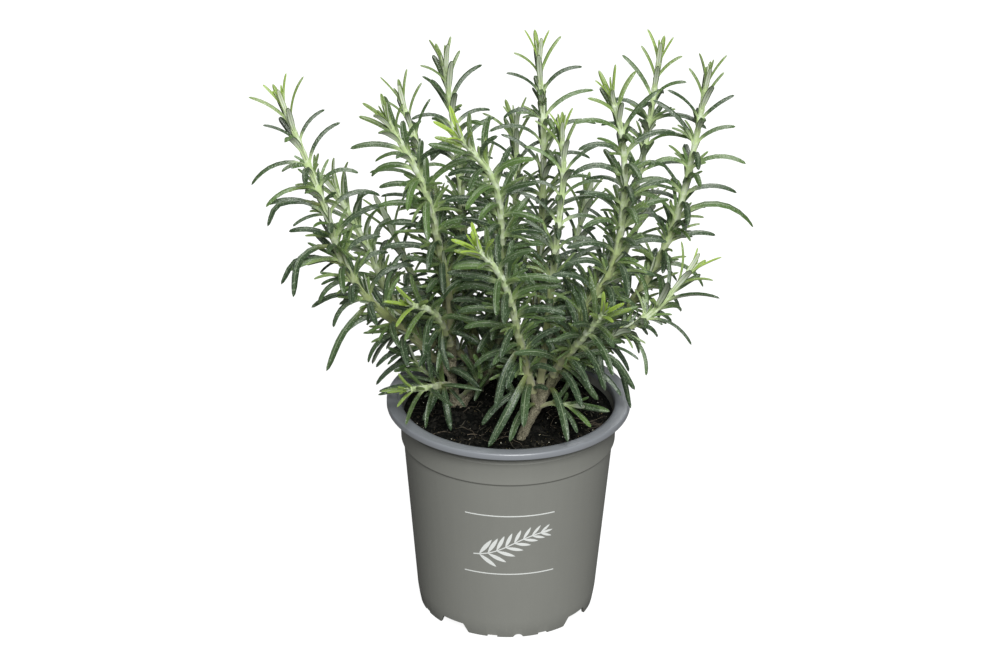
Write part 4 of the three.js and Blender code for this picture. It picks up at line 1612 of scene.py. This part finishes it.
def model_wood(name, wood, sizes, pattern):
    """Joins the tubes of one clump into one smooth forked body, and cracks its bark."""
    corners, faces = pattern
    heap = Heap()
    spots = []
    for path, end, first, last in wood_tubes(wood, sizes):
        stations = path.stations(evenly(0, end, BARK_STEP))
        radii = [swollen_radius(station, first, last, end) for station in stations]
        heap.lay(laid_round(corners, stations, radii), faces, (0, 0, 0), (0, 0, 0))
        spots += stations
    piece = heap.piece("bark_" + name)
    apply_modifier(piece, "REMESH", mode="VOXEL", voxel_size=BARK_VOXEL * MM)
    apply_modifier(piece, "SMOOTH", iterations=4, factor=0.5)
    crack_bark(piece, spots)
    return piece


def bark_waves(row, round_scale, along_scale, start_at=0):
    """Smooth noise on the bark, stretched along the stem."""
    first, second, along = row
    return noise.noise(Vector((
        first * round_scale, second * round_scale, along * along_scale + start_at)))


def crack_bark(piece, spots):
    """Cuts cracks along the bark, and keeps each corner's place along and round its stem."""
    mesh = piece.data
    corners = np.array([corner.co for corner in mesh.vertices]) / MM
    normals = np.array([corner.normal for corner in mesh.vertices])
    middles = np.array([spot.place for spot in spots])
    nearest = np.array([np.argmin(((middles - corner) ** 2).sum(axis=1)) for corner in corners])
    rows = []
    for index, corner in enumerate(corners):
        spot = spots[nearest[index]]
        outward = corner - spot.place
        angle = math.atan2(outward @ spot.up, outward @ spot.side)
        along = spot.distance + outward @ spot.along
        rows.append((math.cos(angle), math.sin(angle), along))
    for index, row in enumerate(rows):
        waves = bark_waves(row, *CRACK_WAVES)
        grain = bark_waves(row, *GRAIN_WAVES, start_at=40)
        depth = CRACK_DEPTH * (abs(waves) * 1.6 - 0.3) + GRAIN_DEPTH * grain
        corners[index] += normals[index] * depth
    mesh.vertices.foreach_set("co", (corners * MM).astype(np.float32).ravel())
    attribute = mesh.attributes.new("place", "FLOAT_VECTOR", "POINT")
    attribute.data.foreach_set("vector", np.array(rows, np.float32).ravel())


def bark_finish(sizes):
    """Dull grey-brown bark with dark cracks that run along the stem."""
    finish = Finish("cracked_bark", Specular_IOR_Level=0.25)
    along = finish.stretched((2.6, 2.6, 0.3), finish.attribute("place"))
    strips = finish.noise(1.6, 5, along, 0.4)
    cells = finish.cells(2.2, "DISTANCE_TO_EDGE", along)
    blotches = finish.noise(320, 3)
    _, _, height = finish.parts(finish.place)
    crack = cells.step(0.12, 0.02)
    tone = finish.mix(blotches.step(0.4, 0.7), sizes.bark, sizes.dry_bark)
    tone = finish.mix(height.step(0.122, 0.15) * 0.55, tone, sizes.old)
    tone = finish.scaled(tone, 0.45 + strips * 1.05)
    finish.set("Base Color", finish.mix(crack * 0.8, tone, sizes.crack))
    finish.set("Roughness", 0.8 + strips * 0.15)
    finish.bump(strips + blotches * 0.4 - crack * 0.8, 0.0006)
    return finish


class ROSEMARY_OT_wood(bpy.types.Operator):
    """Models the wooden stems that rise from the soil and fork into the leafy ones"""

    bl_idname = "rosemary.wood"
    bl_label = "Wooden Stems"

    def execute(self, context):
        sizes = context.scene.rosemary_stem
        pattern = even_rod("tube", 16, 30)
        bark = bark_finish(sizes)
        for name, wood in WOODS.items():
            piece = model_wood(name, wood, sizes, pattern)
            settle(piece, [bark], "bark", "wood_" + name, smooth=60)
        return {"FINISHED"}


# ---------------------------------------------------------------- leafy stems

# Along a leaf, from the tail that runs down the stem to the point: place, width and thickness.
LEAF_SECTIONS = [
    (0, 0.2, 0.2), (0.08, 0.4, 0.5), (0.17, 0.5, 0.75), (0.29, 0.8, 0.95), (0.41, 0.96, 1),
    (0.53, 1, 1), (0.65, 1, 1), (0.77, 0.95, 0.98), (0.88, 0.82, 0.9), (0.96, 0.52, 0.7),
    (1, 0.1, 0.3),
]
TAIL = 0.1  # share of the pattern's length that is the tail
BREADTH = (0.74, 0.86)  # share of its room that a leaf fills across: at the tip and full grown
THINNESS = 0.66  # of a leaf at the tip, against a full-grown one
REACH = 0.995  # share of its line that a leaf fills
# Round a leaf: the prism's corners at this height, their new width factor and height, in shares.
LEAF_ROWS = [(1, 1, 0.34), (0.5, 0.72, 0.6), (-0.5, 1.155, -0.28), (-1, 1, -0.16)]
MARGIN = 0.7  # how much the rolled edge belongs to the upper side
EDGE = 0.05  # corners below, farther than this from the middle in half widths, are on an edge
SET_ASIDE = 10  # rows that are done wait this far below the others
NODE_SECTIONS = [(0, 1.08), (0.2, 0.95), (0.6, 0.92), (0.86, 1), (1, 1.08)]
FLAT_SHARE = 0.84  # a stem is a rounded square: radius of its flat sides against its corners
STEM_STEP = 1.7
STEM_SWELL = 1.06  # a stem's corners stand out this much from its radius
STEM_ENDS = (0.4, 0.5)  # how far it goes on past its start and its tip


def leaf_pattern():
    """A straight leaf along Z: a prism whose top is grooved and whose edges roll under."""
    piece = rod_pattern("leaf", 6, [section[0] for section in LEAF_SECTIONS[1:-1]])
    for row, wide, height in LEAF_ROWS:
        pick(piece, lambda place: abs(place.y - row) < 0.01)
        scale_round((0, 0, 0), wide, 1, 1)
        move_by(0, height - row - SET_ASIDE, 0)
    pick_everything()
    move_by(0, SET_ASIDE, 0)
    for along, wide, thick in LEAF_SECTIONS:
        pick(piece, lambda place: abs(place.z - along) < 0.001)
        scale_round((0, 0, along), wide, thick, 1)
    pick(piece, lambda place: place.z > 0.999)
    bpy.ops.mesh.merge(type="CENTER")
    tidy_normals()
    return taken_off(piece)


def node_pattern():
    """One stretch of square stem along Z, from a pair of leaves to the next."""
    piece = rod_pattern("internode", 12, [section[0] for section in NODE_SECTIONS[1:-1]])
    pick(piece, lambda place: max(abs(place.x), abs(place.y)) > 0.99)
    scale_round((0, 0, 0), FLAT_SHARE, FLAT_SHARE, 1)
    for along, wide in NODE_SECTIONS:
        pick(piece, lambda place: abs(place.z - along) < 0.001)
        scale_round((0, 0, along), wide, wide, 1)
    pick(piece, lambda place: place.z < 0.001 or place.z > 0.999, "FACE")
    bpy.ops.mesh.delete(type="ONLY_FACE")
    return taken_off(piece)


def lay_leaf(heap, pattern, leaf, thickness, tint):
    """Bends a copy of the leaf along its own line."""
    corners, faces = pattern
    places = np.vstack([leaf.tail, leaf.places])
    widths = np.vstack([leaf.widths[:1], leaf.widths]) * leaf.half * between(*BREADTH, leaf.age)
    tops = np.vstack([leaf.tops[:1], leaf.tops]) * thickness * between(THINNESS, 1, leaf.age)
    straight = corners.copy()
    along = (corners[:, 2] - TAIL) / (1 - TAIL)
    straight[:, 2] = np.where(corners[:, 2] < TAIL, corners[:, 2] / TAIL, 1 + along * STEPS * REACH)
    straight[:, 2] /= STEPS + 1
    upper = np.where(corners[:, 1] > 0, 1.0, np.where(abs(corners[:, 0]) > EDGE, MARGIN, 0))
    place = np.column_stack([corners[:, 0], along, upper])
    kind = (leaf.age + leaf.old * (leaf.age == 1), tint, leaf.glow)
    heap.lay(laid_along(straight, places, widths, tops), faces, place, kind)


def lay_stem(heap, pattern, stem):
    """Lays stretches of stem end to end, from just inside the bark to just past the tip."""
    corners, faces = pattern
    before, past = STEM_ENDS
    ends = [stem.bark - before, *reversed(stem.pairs), stem.length + past]
    for low, high in zip(ends, ends[1:]):
        stations = stem.path.stations([stem.bark, *evenly(low, high, STEM_STEP)], stem.facing)[1:]
        if high > stem.length:
            last = stations[-1]
            stations[-1] = last._replace(place=last.place + last.along * past)
        radii = [stem.radius(station.distance) * STEM_SWELL for station in stations]
        kind = (stem.old(low), chance(stem.seed, low, 7), stem.glow)
        heap.lay(laid_round(corners, stations, radii), faces, corners * [0, 0, 1], kind, 1)


def leaf_skin(sizes, stem_sizes):
    """Leathery and dark above with a pale groove, felted and pale below, fresh green at the tips."""
    finish = Finish("rosemary_leaf", Specular_IOR_Level=0.6, Subsurface_Weight=0.08,
                    Subsurface_Scale=0.001, Subsurface_Radius=(0.5, 0.9, 0.2))
    across, along, upper = finish.parts(finish.attribute("place"))
    ages, tint, glow = finish.parts(finish.attribute("kind"))
    age, old = ages.step(0, 1), ages.step(1, 2)
    blotches = finish.noise(210, 3)
    wrinkles = finish.noise(1100, 3)
    fresh = finish.mix(glow * (1 - age) * 1.25, sizes.young, sizes.bright)
    grown = finish.mix(tint.step(0.35, 1) * 0.8, sizes.mature, sizes.lighter)
    grown = finish.mix(old * 0.7, grown, sizes.oldest)
    top = finish.mix((age * 1.15 - 0.1 + (blotches - 0.5) * 0.4).step(0, 1), fresh, grown)
    top = finish.scaled(top, 0.7 + blotches * 0.3 + wrinkles * 0.3)
    # Pale dots on the upper side: partly tiny hairs, partly painted highlight glints that stand in for the
    # leaf's speckled gloss.
    dots = finish.cells(1100).step(0.42, 0.2) * finish.noise(500, 2).step(0.35, 0.6)
    top = finish.mix(dots * 0.6, top, sizes.bloom)
    groove = abs(across).step(0.14, 0.02) * along.step(1.02, 0.6)
    top = finish.mix(groove * (0.35 + tint * 0.35), top, sizes.midrib)
    rib = abs(across).step(0.22, 0.1)
    under = finish.mix(rib * 0.4, sizes.felt, sizes.midrib)
    under = finish.mix(1 - age, under, sizes.young_felt)
    green = upper.step(0.45, 0.65)
    skin = finish.mix(green, finish.scaled(under, 0.86 + tint * 0.2), top)
    root = along.step(0.34, 0.05)
    finish.set("Base Color", finish.mix(
        root * 0.9, skin, finish.mix(old, stem_sizes.young, stem_sizes.old)))
    finish.set("Roughness", 0.8 - green * 0.48 + wrinkles * 0.2)
    finish.bump(wrinkles * green - groove * 0.8, 0.0003)
    return finish


def stem_skin(sizes):
    """Pale green stem with fine upright fibres and patches of whitish down, browner where it is older."""
    finish = Finish("felted_stem", Specular_IOR_Level=0.3, Sheen_Weight=0.2, Sheen_Roughness=0.6)
    old, _, _ = finish.parts(finish.attribute("kind"))
    fibres = finish.noise(1, 3, finish.stretched((1500, 1500, 170)))
    down = finish.noise(2400, 2)
    patches = finish.noise(230, 3)
    tone = finish.mix(patches.step(0.42, 0.62) * 0.65, sizes.young, sizes.down)
    tone = finish.mix((old + (fibres - 0.5) * 0.5).step(0, 1), tone, sizes.old)
    tone = finish.mix(old.step(0.9, 1.05) * 0.6, tone, sizes.bark)
    finish.set("Base Color", finish.scaled(tone, 0.8 + fibres * 0.25 + down * 0.15))
    finish.set("Roughness", 0.75 + down * 0.2)
    finish.bump(fibres + down * 0.6, 0.0002)
    return finish


def lay_stems(patterns, stems, thickness):
    """Stems with all their leaves, in one heap."""
    leaf, node = patterns
    heap = Heap()
    for stem in stems:
        lay_stem(heap, node, stem)
        for index, grown in enumerate(stem.leaves):
            lay_leaf(heap, leaf, grown, thickness, chance(stem.seed, index, 9))
    return heap


class ROSEMARY_OT_stems(bpy.types.Operator):
    """Grows the leafy stems, with each leaf bent along a line of its own that keeps clear of others"""

    bl_idname = "rosemary.stems"
    bl_label = "Leafy Stems"

    def execute(self, context):
        stem_sizes, leaf_sizes = context.scene.rosemary_stem, context.scene.rosemary_leaf
        bush = Bush(stem_sizes, leaf_sizes)
        bush.grow_pairs(bush.stems, first_leaves, FIRST_FIT)
        bush.hang_leaves()
        bush.grow_pairs(bush.stems, other_leaves, OTHER_FIT)
        bush.grow_low_leaves()
        bush.grow_pairs(bush.sprigs, lambda pair: [0, 1], SPRIG_FIT)
        bush.grow_tips()
        bush.grow_tufts()
        patterns = leaf_pattern(), node_pattern()
        thickness = leaf_sizes.thickness / MM
        skins = leaf_skin(leaf_sizes, stem_sizes), stem_skin(stem_sizes)
        for stem in bush.stems:
            piece = lay_stems(patterns, [stem], thickness).piece("leafy_" + stem.name)
            settle(piece, skins, "leaf", "stem_" + stem.name, smooth=75)
        piece = lay_stems(patterns, bush.sprigs, thickness).piece("low_sprigs")
        settle(piece, skins, "leaf", smooth=75)
        return {"FINISHED"}


# ---------------------------------------------------------------- stage

VIEW_MIDDLE = (-4.5, 0, 146.8)  # what the camera looks at, from the foot of the pot's axis
LAMPS = {  # place in metres round the pot, size in metres, and watts
    "softbox": ((0.3, -2.15, 1.9), 1.2, 99),
    "back": ((0.3, 1.9, 2.2), 1.6, 50),
}
LAMP_TARGET = (0, 0, 0.15)
FLOOR_RADIUS = 12  # metres
FLOOR_INSET = 4
FLOOR_GLOW = 0.93
SENSOR_WIDTH = 36
VIEW_DEPTH = 50  # metres that the camera sees


def plain_floor(sizes):
    finish = Finish(
        "plain_floor", Specular_IOR_Level=0, Emission_Color=(1, 1, 1, 1), Emission_Strength=FLOOR_GLOW)
    fine = finish.noise(3, 2)
    finish.set("Base Color", finish.mix(fine * 0.03, sizes.floor, sizes.floor_clouds))
    finish.set("Roughness", 0.9 + fine * 0.05)
    return finish


def lay_floor(sizes):
    floor = start(
        "floor", bpy.ops.mesh.primitive_circle_add, vertices=96, radius=FLOOR_RADIUS, fill_type="NGON")
    bpy.ops.mesh.inset(thickness=FLOOR_INSET)
    leave_editing()
    put_on(floor, plain_floor(sizes))
    alone = bpy.data.collections.new("lit_by_the_floor")
    alone.objects.link(floor)
    floor.light_linking.receiver_collection = alone


def hang_lamp(name, place, size, power):
    bpy.ops.object.light_add(type="AREA", location=Vector(place) + AXIS)
    lamp = bpy.context.object
    lamp.name = name
    lamp.data.shape = "DISK"
    lamp.data.size = size
    lamp.data.energy = power
    aim(lamp, AXIS + Vector(LAMP_TARGET))


def aim(thing, target, roll=0.0):
    """Turns a lamp or camera towards a point."""
    turn = (target - thing.location).to_track_quat("-Z", "Y").to_matrix()
    thing.rotation_euler = (turn @ Matrix.Rotation(roll, 3, "Z")).to_euler()


def set_camera(sizes):
    target = AXIS + Vector(VIEW_MIDDLE) * MM
    away = Vector((0, -math.cos(sizes.elevation), math.sin(sizes.elevation))) * sizes.distance
    bpy.ops.object.camera_add(location=target + away)
    camera = bpy.context.object
    camera.data.lens = sizes.focal
    camera.data.sensor_width = SENSOR_WIDTH
    camera.data.clip_end = VIEW_DEPTH
    aim(camera, target, sizes.roll)
    bpy.context.scene.camera = camera


def light_sky(sizes):
    world = bpy.data.worlds.new("even_light")
    world.use_nodes = True
    sky = world.node_tree.nodes["Background"]
    sky.inputs["Color"].default_value = (1, 1, 1, 1)
    sky.inputs["Strength"].default_value = sizes.sky
    bpy.context.scene.world = world


class ROSEMARY_OT_stage(bpy.types.Operator):
    """Sets the plain floor, the soft light and the camera"""

    bl_idname = "rosemary.stage"
    bl_label = "Stage"

    def execute(self, context):
        sizes = context.scene.rosemary_stage
        lay_floor(sizes)
        for name, (place, size, power) in LAMPS.items():
            hang_lamp(name, place, size, power)
        light_sky(sizes)
        set_camera(sizes)
        context.scene.view_settings.view_transform = "Standard"
        return {"FINISHED"}


# ---------------------------------------------------------------- add-on

class ROSEMARY_PT_panel(bpy.types.Panel):
    """Lists the steps that make the potted rosemary, with their sizes and colours."""

    bl_idname = "ROSEMARY_PT_panel"
    bl_label = "Potted Rosemary"
    bl_space_type = "VIEW_3D"
    bl_region_type = "UI"
    bl_category = "Rosemary"

    def draw(self, context):
        for group, settings, operators in STEPS_IN_ORDER:
            box = self.layout.box()
            holder = getattr(context.scene, group)
            for name in settings.__annotations__:
                box.prop(holder, name)
            for operator in operators:
                box.operator(operator.bl_idname)


STEPS_IN_ORDER = [
    ("rosemary_pot", PotSettings, [ROSEMARY_OT_pot]),
    ("rosemary_print", PrintSettings, [ROSEMARY_OT_print]),
    ("rosemary_soil", SoilSettings, [ROSEMARY_OT_soil]),
    ("rosemary_stem", StemSettings, [ROSEMARY_OT_wood, ROSEMARY_OT_stems]),
    ("rosemary_leaf", LeafSettings, []),
    ("rosemary_stage", StageSettings, [ROSEMARY_OT_stage]),
]
CLASSES = [item for _, settings, operators in STEPS_IN_ORDER for item in (settings, *operators)]
CLASSES.append(ROSEMARY_PT_panel)


def register():
    for item in CLASSES:
        bpy.utils.register_class(item)
    for group, settings, _ in STEPS_IN_ORDER:
        setattr(bpy.types.Scene, group, bpy.props.PointerProperty(type=settings))


def unregister():
    for group, _, _ in STEPS_IN_ORDER:
        delattr(bpy.types.Scene, group)
    for item in reversed(CLASSES):
        bpy.utils.unregister_class(item)


def main():
    register()
    bpy.ops.rosemary.stage()
    bpy.ops.rosemary.pot()
    bpy.ops.rosemary.print()
    bpy.ops.rosemary.soil()
    bpy.ops.rosemary.wood()
    bpy.ops.rosemary.stems()


if __name__ == "__main__":
    main()
